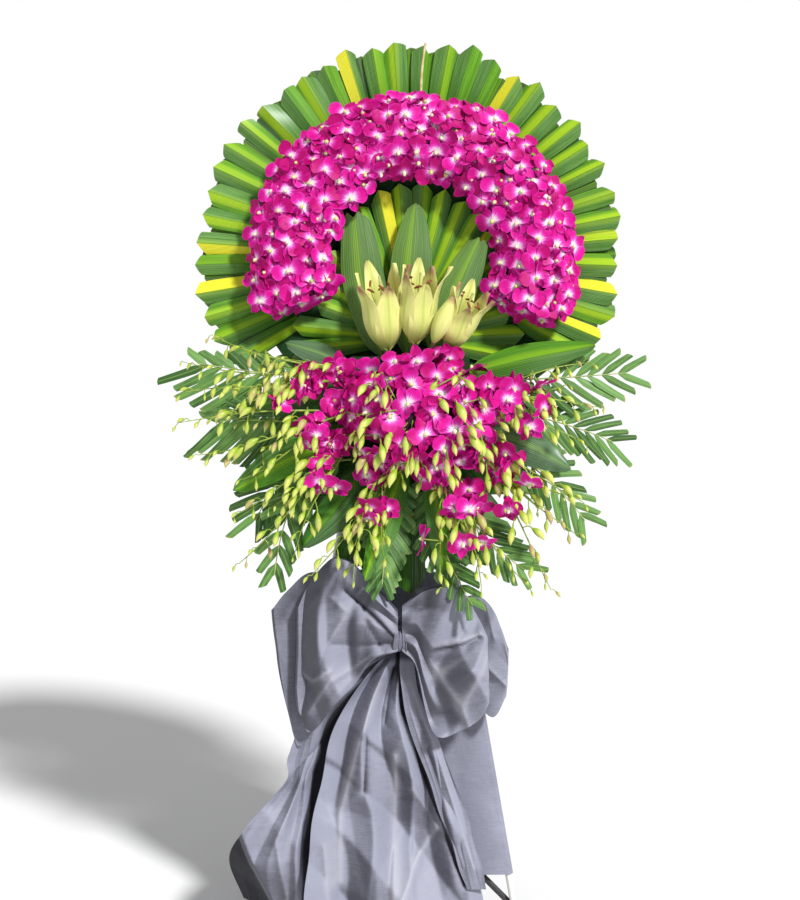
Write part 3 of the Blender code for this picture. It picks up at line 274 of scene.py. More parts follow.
class Value:
    """One output of a node, with the signs of arithmetic; each sign adds its Math node."""

    def __init__(self, look, socket):
        self.look = look
        self.socket = socket

    def __add__(self, other):
        return self.look.math("ADD", self, other)

    def __mul__(self, other):
        return self.look.math("MULTIPLY", self, other)

    def __sub__(self, other):
        return self.look.math("SUBTRACT", self, other)

    def __rsub__(self, other):
        return self.look.math("SUBTRACT", other, self)

    def __abs__(self):
        return self.look.math("ABSOLUTE", self)

    __radd__ = __add__
    __rmul__ = __mul__


class Look:
    """A material under one name, with its surface shader."""

    def __init__(self, name, **constants):
        self.material = bpy.data.materials.new(name)
        self.material.use_nodes = True
        self.tree = self.material.node_tree
        self.surface = self.tree.nodes["Principled BSDF"]
        for socket, value in constants.items():
            self.surface.inputs[socket.replace("_", " ")].default_value = value

    def node(self, kind, settings=None, inputs=None, output=0):
        """Add a node: its settings first, then the values or links of its sockets."""
        node = self.tree.nodes.new(kind)
        for name, value in (settings or {}).items():
            setattr(node, name, value)
        for name, value in (inputs or {}).items():
            self.feed(node.inputs[name], value)
        return Value(self, node.outputs[output])

    def feed(self, socket, value):
        """Link a socket to a value, or set it."""
        if isinstance(value, Value):
            self.tree.links.new(value.socket, socket)
        elif socket.type == "RGBA":
            socket.default_value = (*tuple(value)[:3], 1.0)
        else:
            socket.default_value = value

    def math(self, operation, *values):
        """Add a Math node."""
        return self.node("ShaderNodeMath", {"operation": operation}, dict(enumerate(values)))

    def attribute(self, name):
        """Read one of the mesh's own numbers."""
        return self.node("ShaderNodeAttribute", {"attribute_name": name}, output=2)

    def spot(self):
        """Return the place in the object's own coordinates."""
        return self.node("ShaderNodeTexCoord", output=3)

    def join(self, x, y=0.0, z=0.0):
        """Join three numbers into a vector."""
        return self.node("ShaderNodeCombineXYZ", inputs={0: x, 1: y, 2: z})

    def stretch(self, vector, scale):
        """Scale a vector differently along each axis."""
        return self.node("ShaderNodeVectorMath", {"operation": "MULTIPLY"}, {0: vector, 1: scale})

    def noise(self, vector, scale, detail=2.0, roughness=0.5):
        """Return cloudy noise from 0 to 1."""
        return self.node("ShaderNodeTexNoise", inputs={"Vector": vector, "Scale": scale, "Detail": detail,
                                                       "Roughness": roughness})

    def step(self, value, low, high):
        """Rise smoothly from 0 at low to 1 at high."""
        return self.node("ShaderNodeMapRange", {"interpolation_type": "SMOOTHSTEP"},
                         {"Value": value, "From Min": low, "From Max": high})

    def mix(self, factor, first, second):
        """Mix two colours."""
        return self.node("ShaderNodeMix", {"data_type": "RGBA"}, {0: factor, 6: first, 7: second}, output=2)

    def finish(self, colour, roughness=None, height=None, depth=0.001, strength=1.0):
        """Feed the surface its colour, roughness and bumps, and return the material."""
        self.feed(self.surface.inputs["Base Color"], colour)
        if roughness is not None:
            self.feed(self.surface.inputs["Roughness"], roughness)
        if height is not None:
            bump = {"Strength": strength, "Distance": depth, "Height": height}
            self.feed(self.surface.inputs["Normal"], self.node("ShaderNodeBump", inputs=bump))
        return self.material


class SheetLook(Look):
    """A material that reads a sheet's own places, across and along it from 0 to 1, and its tone."""

    def __init__(self, name, **constants):
        super().__init__(name, **constants)
        spot = self.node("ShaderNodeUVMap", {"uv_map": "Place"})
        places = self.node("ShaderNodeSeparateXYZ", inputs={0: spot}).socket.node.outputs
        self.across, self.along = Value(self, places[0]), Value(self, places[1])
        self.tone = self.attribute("tone")

    def grain(self, across, along, shift, layer, detail=2.0, roughness=0.5):
        """Return noise with so many cells across and along a sheet. The sheet's tone, times shift and times
        layer, moves it, so that no two sheets match."""
        place = self.join(self.across * across + self.tone * shift, self.along * along, self.tone * layer)
        return self.noise(place, 1.0, detail, roughness)


# Lesser colours of the finishes

# Painted sky sheen, laid on the side of a leaf in painted shade
SKY_SHEEN_GREEN = (0.34, 0.5, 0.26)
DRY_LEAF_END = (0.34, 0.28, 0.1)
FROND_STREAK = (0.3, 0.42, 0.16)
FROND_RIB = (0.32, 0.44, 0.12)
DRY_FROND_END = (0.42, 0.38, 0.16)
DEEP_PETAL = (0.47, 0.0, 0.15)
PETAL_LIP = (0.34, 0.0, 0.14)
HEART_CREAM = (0.86, 0.8, 0.62)
HEART_GREEN = (0.62, 0.66, 0.16)
BUD_BLUSH = (0.5, 0.2, 0.22)
LILY_MIDDLE = (0.7, 0.71, 0.21)
LILY_GREEN = (0.42, 0.54, 0.09)
LILY_TIP = (0.3, 0.12, 0.07)
FABRIC_SPECK = (0.34, 0.34, 0.39)
# Painted highlight on fabric ridges, and painted shade in its furrows
FABRIC_RIDGE_HIGHLIGHT = (0.58, 0.58, 0.64)
FABRIC_FURROW_SHADE = (0.008, 0.008, 0.012)
WORN_PALE_ROD = (0.46, 0.44, 0.4)
# The brace's near-black is painted shade for the shade it stands in; its worn colour is chips in that painted
# shade
SHADED_ROD = (0.018, 0.018, 0.02)
WORN_SHADED_ROD = (0.1, 0.09, 0.085)
# Foam greens, darkened as painted shade
SHADED_FOAM_GREEN = (0.02, 0.06, 0.018)
SHADED_FOAM_DARK = (0.006, 0.02, 0.006)
FLOOR_GREY = (0.93, 0.93, 0.93)

# Small plant parts: two colours, the fineness of their clouds, and the roughness

PLANT_PARTS = {
    "Straw rib": ((0.62, 0.45, 0.2), (0.8, 0.68, 0.4), 60.0, 0.5),
    "Palm rib": ((0.3, 0.38, 0.1), (0.46, 0.52, 0.2), 90.0, 0.5),
    "Orchid stem": ((0.18, 0.3, 0.03), (0.38, 0.46, 0.07), 110.0, 0.4),
    # The core under the blooms is dark to paint the shade between them
    "Core in painted shade": ((0.07, 0.006, 0.028), (0.02, 0.01, 0.01), 70.0, 0.9),
    "Lily anther": ((0.2, 0.055, 0.02), (0.34, 0.12, 0.04), 300.0, 0.8),
    "Lily filament": ((0.66, 0.68, 0.24), (0.5, 0.56, 0.16), 120.0, 0.5),
    "Lily stem": ((0.14, 0.26, 0.06), (0.26, 0.38, 0.1), 90.0, 0.5),
}


def striped_leaf(name, edge, body, band, pale, band_width):
    """Leaf with long fine streaks and a paler band near its rib; one side of its rib gets painted shade,
    with a painted sky sheen on it; the mark turns it pale.
    """
    look = SheetLook(name, Specular_IOR_Level=0.22, Coat_Weight=0.1, Coat_Roughness=0.2)
    across, along, tone, mark = look.across, look.along, look.tone, look.attribute("mark")
    streaks = look.grain(46.0, 1.6, 31.0, 17.0, 3.0, 0.6)
    broad = look.grain(9.0, 1.1, 19.0, 7.0)
    # Painted shade: the side of the rib that the tone picks is darkened, and it dulls the band and the pale
    # colour
    painted_shade_side = abs(look.step(across, 0.46, 0.54) - look.step(tone, 0.45, 0.55))
    colour = look.mix(look.step(streaks * 0.6 + broad * 0.4 - painted_shade_side * 0.14, 0.32, 0.64), edge, body)
    from_band = abs(across - 0.5 - (tone - 0.5) * 0.4) * 2.0
    from_band = from_band + (streaks - 0.5) * 0.4 + (broad - 0.5) * 0.6
    in_band = 1.0 - look.step(from_band, band_width - 0.2, band_width + 0.2)
    colour = look.mix(in_band * look.step(tone, 0.02, 0.5) * (1.0 - painted_shade_side * 0.55), colour, band)
    # Painted sky sheen: a grey-green reflection laid on the side in painted shade
    painted_sky_sheen = painted_shade_side * look.step(along + (broad - 0.5) * 0.5, 0.3, 0.75) * look.step(streaks, 0.3, 0.7)
    colour = look.mix(painted_sky_sheen * 0.34, colour, SKY_SHEEN_GREEN)
    in_pale = look.step(mark - painted_shade_side * 0.55 + (broad - 0.5) * 0.5, 0.45, 0.7)
    colour = look.mix(in_pale, colour, pale)
    colour = look.mix(look.step(streaks, 0.7, 0.95) * 0.4, colour, pale)
    colour = look.mix(look.step(1.0 - abs(across - 0.5) * 2.0, 0.93, 0.99) * 0.5, colour, edge)
    patches = look.noise(look.join(across * 5.0, tone * 40.0), 1.0)
    tip = look.step(along, 0.985, 1.0) * look.step(patches, 0.4, 0.7)
    colour = look.mix(tip * 0.6, colour, DRY_LEAF_END)
    veins = look.math("SINE", across * 118.0)
    return look.finish(colour, 0.36 + broad * 0.16, veins * 0.5 + streaks, 0.0006, 0.8)


def palm_leaf(name, deep, fresh):
    """Palm leaflet: deep green with a lighter rib, fine ribs along it, and a few dry ends."""
    look = SheetLook(name, Specular_IOR_Level=0.28, Coat_Weight=0.08, Coat_Roughness=0.3)
    across, along, tone = look.across, look.along, look.tone
    clouds = look.grain(3.0, 3.0, 29.0, 13.0, 3.0)
    streaks = look.grain(26.0, 1.4, 31.0, 17.0)
    colour = look.mix(look.step(tone * 0.55 + clouds * 0.6, 0.3, 0.85), deep, fresh)
    colour = look.mix(look.step(streaks, 0.55, 0.9) * 0.35, colour, FROND_STREAK)
    rib = 1.0 - look.step(abs(across - 0.5), 0.02, 0.09)
    colour = look.mix(rib * 0.55, colour, FROND_RIB)
    dry_end = look.step(along, 0.95, 1.0) * look.step(tone, 0.55, 0.8)
    colour = look.mix(dry_end * 0.7, colour, DRY_FROND_END)
    veins = look.math("SINE", across * 60.0)
    return look.finish(colour, 0.36 + clouds * 0.18, streaks + veins * 0.3, 0.0005, 0.7)


def orchid_petal(name, petal, light, white):
    """Orchid petal: white at the throat, bright towards the tip, finely veined; the mark 1 is the lip."""
    look = SheetLook(name, Specular_IOR_Level=0.16)
    across, along, tone, mark = look.across, look.along, look.tone, look.attribute("mark")
    veins = look.grain(15.0, 1.2, 37.0, 11.0, 2.0, 0.6)
    clouds = look.grain(1.8, 1.8, 53.0, 23.0)
    reach = along + (veins - 0.5) * 0.34 - (tone - 0.5) * 0.14 + abs(across - 0.5) * 0.16
    deep = look.mix(look.step(tone + (clouds - 0.5) * 0.5, 0.25, 0.7), DEEP_PETAL, petal)
    colour = look.mix(look.step(reach, 0.2, 0.46), light, deep)
    colour = look.mix(look.step(reach, 0.08, 0.29), white, colour)
    edge = look.step(abs(across - 0.5) * 2.0 + (veins - 0.5) * 0.6, 0.65, 1.1)
    colour = look.mix(edge * look.step(clouds + tone * 0.4, 0.45, 0.9) * 0.6, colour, light)
    colour = look.mix(look.step(veins, 0.52, 0.78) * 0.3, colour, light)
    colour = look.mix(look.step(mark, 0.4, 0.6) * look.step(along, 0.15, 0.45), colour, PETAL_LIP)
    return look.finish(colour, 0.42 + clouds * 0.16, veins, 0.0006, 0.6)


def orchid_heart(name):
    """Column and throat of an orchid: cream with a touch of yellow-green."""
    look = Look(name, Specular_IOR_Level=0.4)
    tone = look.attribute("tone")
    clouds = look.noise(look.spot(), 160.0, 2.0)
    colour = look.mix(look.step(clouds + tone * 0.3, 0.4, 0.9), HEART_CREAM, HEART_GREEN)
    return look.finish(colour, 0.45, clouds, 0.0003, 0.5)


def orchid_bud(name, green, tip):
    """Orchid bud: green at its foot, paler to the tip, with a blush on some, and fine ribs."""
    look = SheetLook(name, Specular_IOR_Level=0.45, Coat_Weight=0.2, Coat_Roughness=0.3)
    clouds = look.grain(4.0, 3.0, 61.0, 9.0)
    ribs = look.grain(20.0, 2.0, 0.0, 9.0, 1.0)
    colour = look.mix(look.step(look.along + (clouds - 0.5) * 0.5, 0.15, 0.75), green, tip)
    colour = look.mix(look.step(look.tone + (clouds - 0.5) * 0.9, 0.75, 1.15) * 0.75, colour, BUD_BLUSH)
    return look.finish(colour, 0.38 + clouds * 0.15, ribs + clouds, 0.0005, 0.6)


def lily_tepal(name, edge):
    """Lily tepal: pale with a greenish rib and foot, soft ribs along it, and a brown tip on some."""
    look = SheetLook(name, Specular_IOR_Level=0.4, Sheen_Weight=0.15)
    along, mark = look.along, look.attribute("mark")
    clouds = look.grain(3.0, 2.4, 41.0, 9.0, 3.0)
    ribs = look.grain(18.0, 0.9, 13.0, 5.0)
    from_rib = abs(look.across - 0.5) * 2.0
    colour = look.mix(look.step(from_rib + (clouds - 0.5) * 0.4, 0.25, 0.85), LILY_MIDDLE, edge)
    colour = look.mix((1.0 - look.step(from_rib, 0.03, 0.2)) * 0.55, colour, LILY_GREEN)
    colour = look.mix((1.0 - look.step(along + (ribs - 0.5) * 0.25, 0.02, 0.42)) * 0.8, colour, LILY_GREEN)
    colour = look.mix(look.step(ribs, 0.55, 0.85) * 0.3, colour, LILY_GREEN)
    tip = look.step(along + (clouds - 0.5) * 0.25, 0.8, 0.97) * look.step(mark, 0.4, 0.6)
    colour = look.mix(tip * 0.85, colour, LILY_TIP)
    return look.finish(colour, 0.4 + clouds * 0.14, ribs, 0.001, 0.7)


def plant_part(name):
    """Stem, anther or other small part: two colours in soft clouds."""
    first, second, fineness, roughness = PLANT_PARTS[name]
    look = Look(name, Specular_IOR_Level=0.4)
    clouds = look.noise(look.spot(), fineness, 3.0)
    return look.finish(look.mix(look.step(clouds, 0.35, 0.68), first, second), roughness, clouds, 0.0004, 0.5)


def stiff_fabric(name, colour, shares):
    """Stiff non-woven fabric: fine cross threads, bonded specks and soft clouds, between a lit and a shade
    share of its colour, which paint light and shade. It is painted paler where its tone says that it turns to
    the light; the mark paints a highlight on its ridges and shade in its furrows."""
    lit, shade = ([part * share for part in colour] for share in shares)
    look = Look(name, Specular_IOR_Level=0.34, Sheen_Weight=0.04, Sheen_Roughness=0.35)
    spot = look.spot()
    across_threads = look.noise(look.stretch(spot, (40.0, 40.0, 900.0)), 1.0, 2.0, 0.6)
    down_threads = look.noise(look.stretch(spot, (900.0, 300.0, 30.0)), 1.0, 2.0, 0.6)
    clouds = look.noise(spot, 9.0, 4.0, 0.6)
    fibres = look.noise(look.stretch(spot, (60.0, 60.0, 140.0)), 1.0, 4.0, 0.7)
    specks = look.noise(spot, 700.0, 1.0)
    weave = across_threads * 0.6 + down_threads * 0.4
    # Painted light and shade: the tone moves the colour between the lit and the shade share
    light = weave * 0.45 + fibres * 0.2 + clouds * 0.35 + (look.attribute("tone") - 0.5) * 0.66
    colour = look.mix(look.step(light, 0.12, 0.88), shade, lit)
    colour = look.mix(look.step(clouds, 0.58, 0.8) * 0.35, colour, lit)
    colour = look.mix(look.step(specks, 0.66, 0.74) * 0.2, colour, FABRIC_SPECK)
    # Painted highlight on the mark's ridges, and painted shade, nearly black, in its furrows
    mark = look.attribute("mark") + (fibres - 0.5) * 0.25
    colour = look.mix(look.step(mark, 0.35, 1.0) * 0.3, colour, FABRIC_RIDGE_HIGHLIGHT)
    furrow_shade = look.step(0.0 - mark, 0.4, 0.95)
    colour = look.mix(furrow_shade * 0.94, colour, FABRIC_FURROW_SHADE)
    rough = 0.36 + fibres * 0.2 + (1.0 - weave) * 0.08 + furrow_shade * 0.4
    return look.finish(colour, rough, weave + fibres * 0.8 + specks * 0.3, 0.0006, 0.55)


def painted_rod(name, paint, worn):
    """Painted steel rod: brushed paint with chips and dull rubbed places."""
    look = Look(name, Specular_IOR_Level=0.5)
    spot = look.spot()
    strokes = look.noise(look.stretch(spot, (220.0, 220.0, 14.0)), 1.0, 3.0)
    chips = look.noise(spot, 120.0, 4.0, 0.65)
    rubbed = look.step(chips, 0.64, 0.7)
    colour = look.mix(rubbed, look.mix(strokes * 0.35, paint, worn), worn)
    look.feed(look.surface.inputs["Metallic"], rubbed * 0.5)
    rough = 0.34 + strokes * 0.22 + rubbed * 0.2
    return look.finish(colour, rough, strokes * 0.4 - rubbed * 0.6, 0.0003, 0.8)


def floral_foam(name):
    """Floral foam: dense fine pores, with a few crushed dents; its greens are darkened to paint the shade
    inside the arch's hole.
    """
    look = Look(name, Specular_IOR_Level=0.15)
    pores = look.node("ShaderNodeTexVoronoi", inputs={"Vector": look.spot(), "Scale": 420.0})
    dents = look.noise(look.spot(), 24.0, 4.0)
    colour = look.mix(look.step(pores, 0.1, 0.55), SHADED_FOAM_DARK, SHADED_FOAM_GREEN)
    colour = look.mix(look.step(dents, 0.5, 0.8) * 0.5, colour, SHADED_FOAM_DARK)
    return look.finish(colour, 0.95, pores + dents * 2.0, 0.001, 0.7)


def plain_floor(name):
    """Matt floor with a barely visible cloud in its paint."""
    look = Look(name, Specular_IOR_Level=0.1)
    clouds = look.noise(look.spot(), 1.5, 3.0)
    dim = tuple(part * 0.985 for part in FLOOR_GREY)
    return look.finish(look.mix(clouds, FLOOR_GREY, dim), 0.95)


# Settings that a user may change


def length_property(label, description, default, low, high):
    """Declare a length, in metres."""
    return bpy.props.FloatProperty(name=label, description=description, default=default, min=low, max=high,
                                   unit="LENGTH")


def colour_property(label, description, default):
    """Declare a colour."""
    return bpy.props.FloatVectorProperty(name=label, description=description, subtype="COLOR", size=3,
                                         min=0.0, max=1.0, default=default)


class WreathSizes(bpy.types.PropertyGroup):
    """Sizes of the wreath's pieces."""

    bloom: length_property("Bloom radius", "From an orchid's middle to its petals' tips", 0.03, 0.01, 0.05)
    petal: length_property("Petal thickness", "Thickness of an orchid's petals", 0.0006, 0.0002, 0.003)
    leaf: length_property("Leaf thickness", "Thickness of leaves and leaflets", 0.0008, 0.0003, 0.003)
    fan_width: length_property("Fan leaf width", "Width of a fan leaf at its cut end", 0.047, 0.01, 0.08)
    fan_fold: length_property("Fan leaf fold", "How far a fan leaf's rib stands proud", 0.013, 0.0, 0.03)
    bud: length_property("Bud length", "Length of the largest orchid buds", 0.037, 0.01, 0.06)
    fabric: length_property("Fabric thickness", "Thickness of the bow and the skirt", 0.0012, 0.0004, 0.004)


class WreathColours(bpy.types.PropertyGroup):
    """Colours of the wreath's finishes."""

    petal: colour_property("Petal", "Orchid petals towards their tips", (0.66, 0.004, 0.27))
    petal_light: colour_property("Light petal", "Orchid petals half way", (0.76, 0.07, 0.55))
    petal_white: colour_property("Throat", "Orchid petals at the throat", (0.93, 0.78, 0.88))
    leaf_dark: colour_property("Leaf edge", "Fan leaves at their edges", (0.06, 0.2, 0.014))
    leaf: colour_property("Leaf", "Fan leaves' main green", (0.17, 0.42, 0.02))
    leaf_band: colour_property("Leaf band", "Band along fan leaves' ribs", (0.4, 0.64, 0.02))
    leaf_yellow: colour_property("Yellow leaf", "The yellowest leaves", (0.84, 0.8, 0.04))
    frond: colour_property("Frond", "Palm fronds' deep green", (0.04, 0.125, 0.022))
    frond_fresh: colour_property("Fresh frond", "Palm fronds' lighter green", (0.15, 0.33, 0.08))
    bud: colour_property("Bud", "Orchid buds at their foot", (0.34, 0.48, 0.035))
    bud_tip: colour_property("Bud tip", "Orchid buds towards their tip", (0.7, 0.74, 0.17))
    lily: colour_property("Lily", "Lily tepals' edges", (0.8, 0.78, 0.27))
    fabric: colour_property("Fabric", "Bow and skirt", (0.285, 0.294, 0.372))
    rod: colour_property("Rod", "Pale rods of the stand", (0.8, 0.8, 0.77))


# Leaves


def fold_leaves(rib, side, facing, width, fold, ends, columns):
    """Fold leaves along their ribs: point(u, v) = rib(v) + side·width(v)·u − facing·fold(v)·|u| +
    along·ends(u)·v³, where u runs from −1 to 1 across and v from 0 to 1 along."""
    u = np.linspace(-1.0, 1.0, columns)
    v = evenly(rib.shape[1])
    along = unit(np.gradient(rib, axis=1))
    side, facing = (vector[:, None] if vector.ndim == 2 else vector for vector in (side, facing))
    grid = rib[:, :, None] + side[:, :, None] * (width[..., None] * u)[..., None]
    grid = grid - facing[:, :, None] * (fold[..., None] * np.abs(u))[..., None]
    return grid + along[:, :, None] * (ends[:, None, :] * v[None, :, None] ** 3)[..., None]


# Places of the finishes in an orchid's, a lily's, a frond's and the fan's list of materials

HEART, BUD, STEM, CORE = 1, 2, 3, 4
ANTHER, THREAD = 1, 2
RIB = 1
BACK_ROW, STRAW = 1, 2

# Leaf fans: reach from the arch's middle, lift off the disc at a leaf's foot and tip, half width and fold

FAN_COUNT = 36
FAN_START, FAN_END = math.radians(-34.0), math.radians(214.0)
FAN_INNER = 0.2415
FAN_OUTER = 0.4
BACK_OUTER = 0.386
FAN_LIFT = (0.003, 0.0198)
BACK_LIFT = (0.0018, 0.0046)
BACK_HALF, BACK_FOLD, BACK_POINT = 0.0205, 0.0018, 0.006
FAN_BAND, BACK_BAND = 0.42, 0.3
# The back row's colours are darker than the front's to paint the shade between the front leaves
SHADED_BACK_COLOURS = ((0.012, 0.055, 0.004), (0.035, 0.13, 0.006), (0.12, 0.28, 0.01))
YELLOW_ANGLES = np.radians((105.3, 59.9, 174.0, 193.0, 347.0, 1.0, -22.0))
YELLOW_SHARES = (1.0, 1.0, 0.75, 0.9, 0.8, 0.55, 0.7)
STRAW_ANGLE = math.radians(85.5)
STRAW_START, STRAW_LENGTH = 0.285, 0.118
INNER_HUB = (0.002, -0.155)
INNER_ANGLES = np.radians((187.0, 174.0, 160.0, 146.0, 133.0, 121.0, 111.4, 102.2, 94.0, 85.0, 76.5, 68.0,
                           59.5, 51.0, 41.0, 29.0, 15.0, 2.0, 349.0))
INNER_LENGTHS = (0.205, 0.21, 0.17, 0.19, 0.21, 0.232, 0.255, 0.272, 0.28, 0.284, 0.274, 0.268, 0.258,
                 0.24, 0.205, 0.175, 0.18, 0.2, 0.19)
INNER_YELLOW = (7, 13)
INNER_START = 0.01
INNER_LIFT = (0.005, 0.0175)
INNER_HALF, INNER_FOLD = 0.0225, 0.0105


def fan_row(chance, angles, inner, outer, lift, half_width, fold, point, rows=12, columns=11):
    """Lay a row of folded leaves out from the arch. A rib runs outward from inner to outer and rises with
    v^0.7, its leaf widens with v^0.8, and its cut end falls back from the rib's point with |u|."""
    count = len(angles)
    v = evenly(rows)
    outward, aside = headings(angles)
    reach = inner + (outer[:, None] - inner) * v
    wave = 0.0012 * np.sin(v * 5.0 + chance.uniform(0, 6, (count, 1))) * v
    height = lift[0] + (lift[1] - lift[0]) * v ** 0.7 + wave
    rib = outward[:, None] * reach[..., None] + FORWARD * height[..., None]
    roll = chance.normal(0.0, 0.13, count)[:, None]
    side = aside * np.cos(roll) + FORWARD * np.sin(roll)
    facing = FORWARD * np.cos(roll) - aside * np.sin(roll)
    width = half_width[:, None] * (0.6 + 0.4 * v ** 0.8) * (1.0 - 0.1 * v ** 6)
    depth = fold[:, None] * (0.25 + 0.75 * v)
    u = np.linspace(-1.0, 1.0, columns)
    skew = chance.uniform(-0.008, 0.008, (count, 1))
    ends = point[:, None] * (1.0 - np.abs(u)) + skew * u - 0.003 * np.abs(u) ** 6
    return fold_leaves(rib, side, facing, width, depth, ends, columns)


class WREATH_OT_leaf_fans(bpy.types.Operator):
    """Lay the two rows of the outer leaf fan and the small fan inside the arch"""

    bl_idname = "wreath.leaf_fans"
    bl_label = "Leaf fans"

    def execute(self, context):
        sizes, colours = context.scene.wreath_sizes, context.scene.wreath_colours
        chance = np.random.default_rng(SEEDS["fans"])
        greens = (colours.leaf_dark, colours.leaf, colours.leaf_band)
        front = striped_leaf("Fan leaf", *greens, colours.leaf_yellow, FAN_BAND)
        back = striped_leaf("Back leaf in painted shade", *SHADED_BACK_COLOURS, colours.leaf_yellow, BACK_BAND)
        self.outer_fan(sizes, chance, [front, back, plant_part("Straw rib")])
        self.inner_fan(sizes, chance, [front])
        return {"FINISHED"}

    def outer_fan(self, sizes, chance, materials):
        """Lay the front row over the back row, with one dry straw-coloured rib."""
        shapes = Shapes()
        pitch = (FAN_END - FAN_START) / FAN_COUNT
        self.front_row(shapes, sizes, pitch, chance)
        self.back_row(shapes, sizes, pitch, chance)
        outward, aside = headings(np.array([STRAW_ANGLE]))
        v = evenly(9)[:, None]
        path = outward * (STRAW_START + STRAW_LENGTH * v) + aside * 0.003 * np.sin(v * 3.0)
        path = path + FORWARD * (0.014 + 0.006 * v)
        shapes.tubes(path[None], 0.0026 - 0.0006 * v[:, 0], 6, slot=STRAW, flat=0.5)
        shapes.build("leaf_fan", materials, ["fan_leaves"], sharp=38.0)

    def front_row(self, shapes, sizes, pitch, chance):
        """Lay the front row, and mark the leaves that lie nearest to the yellow ones' angles."""
        angles = FAN_START + (np.arange(FAN_COUNT) + 0.5) * pitch + chance.uniform(-0.014, 0.014, FAN_COUNT)
        outer = FAN_OUTER + chance.uniform(-0.016, 0.002, FAN_COUNT)
        half = sizes.fan_width / 2 * chance.uniform(0.86, 1.06, FAN_COUNT)
        fold = sizes.fan_fold * chance.uniform(0.75, 1.15, FAN_COUNT)
        point = chance.uniform(0.006, 0.015, FAN_COUNT)
        mark = np.zeros(FAN_COUNT)
        nearest = np.abs((angles[:, None] - YELLOW_ANGLES + math.pi) % math.tau - math.pi).argmin(axis=0)
        mark[nearest] = YELLOW_SHARES
        leaves = fan_row(chance, angles, FAN_INNER, outer, FAN_LIFT, half, fold, point)
        shapes.sheets(leaves, sizes.leaf, chance.uniform(0, 1, FAN_COUNT), mark)

    def back_row(self, shapes, sizes, pitch, chance):
        """Lay the back row, darkened with painted shade, in the front row's gaps, with both end leaves drawn
        in.
        """
        count = FAN_COUNT + 1
        angles = FAN_START + np.arange(count) * pitch + chance.uniform(-0.01, 0.01, count)
        angles[0] += 0.4 * pitch
        angles[-1] -= 0.4 * pitch
        outer = BACK_OUTER + chance.uniform(-0.016, 0.006, count)
        half, fold, point = (np.full(count, value) for value in (BACK_HALF, BACK_FOLD, BACK_POINT))
        leaves = fan_row(chance, angles, FAN_INNER, outer, BACK_LIFT, half, fold, point)
        shapes.sheets(leaves, sizes.leaf, chance.uniform(0, 1, count), slot=BACK_ROW)

    def inner_fan(self, sizes, chance, materials):
        """Lay the folded leaves that spread inside the arch from one hub, and narrow them towards it."""
        shapes = Shapes()
        count = len(INNER_ANGLES)
        lengths = np.array(INNER_LENGTHS)
        half = INNER_HALF * chance.uniform(0.9, 1.08, count)
        fold = np.full(count, INNER_FOLD)
        leaves = fan_row(chance, INNER_ANGLES, INNER_START, lengths, INNER_LIFT, half, fold,
                         chance.uniform(0.01, 0.018, count), rows=16)
        v = evenly(16)[None, :, None, None]
        middle = leaves.mean(axis=2, keepdims=True)
        leaves = middle + (leaves - middle) * (0.22 + 0.78 * v ** 0.8) / (0.6 + 0.4 * v ** 0.8)
        leaves = leaves + (*INNER_HUB, 0.0)
        mark = np.zeros(count)
        mark[list(INNER_YELLOW)] = (1.0, 0.6)
        shapes.sheets(leaves, sizes.leaf, chance.uniform(0.15, 0.9, count), mark)
        hub = np.array([(INNER_HUB[0], INNER_HUB[1] + step, 0.0045) for step in (-0.026, -0.01, 0.012)])
        shapes.tubes(hub[None], (0.012, 0.02, 0.012), 12, 0.3, flat=0.16)
        shapes.build("inner_leaf_fan", materials, ["inner_fan"], sharp=38.0)


# Finishes of the large leaves: colours of edge, body, band and pale places, and the band's half width

LEAF_LOOKS = {
    "Centre leaf": ((0.085, 0.185, 0.035), (0.17, 0.31, 0.07), (0.26, 0.46, 0.05), (0.4, 0.54, 0.14), 0.18),
    "Bright leaf": ((0.05, 0.18, 0.01), (0.11, 0.33, 0.014), (0.25, 0.5, 0.014), (0.4, 0.56, 0.05), 0.24),
    "Deep leaf": ((0.018, 0.08, 0.008), (0.045, 0.16, 0.014), (0.1, 0.28, 0.016), (0.18, 0.36, 0.05), 0.22),
    "Grey leaf": ((0.07, 0.15, 0.07), (0.13, 0.24, 0.105), (0.19, 0.34, 0.1), (0.28, 0.42, 0.17), 0.22),
}

# Large leaves: name, finish, root, base, middle, tip, half width, bluntness of the tip, forward cup

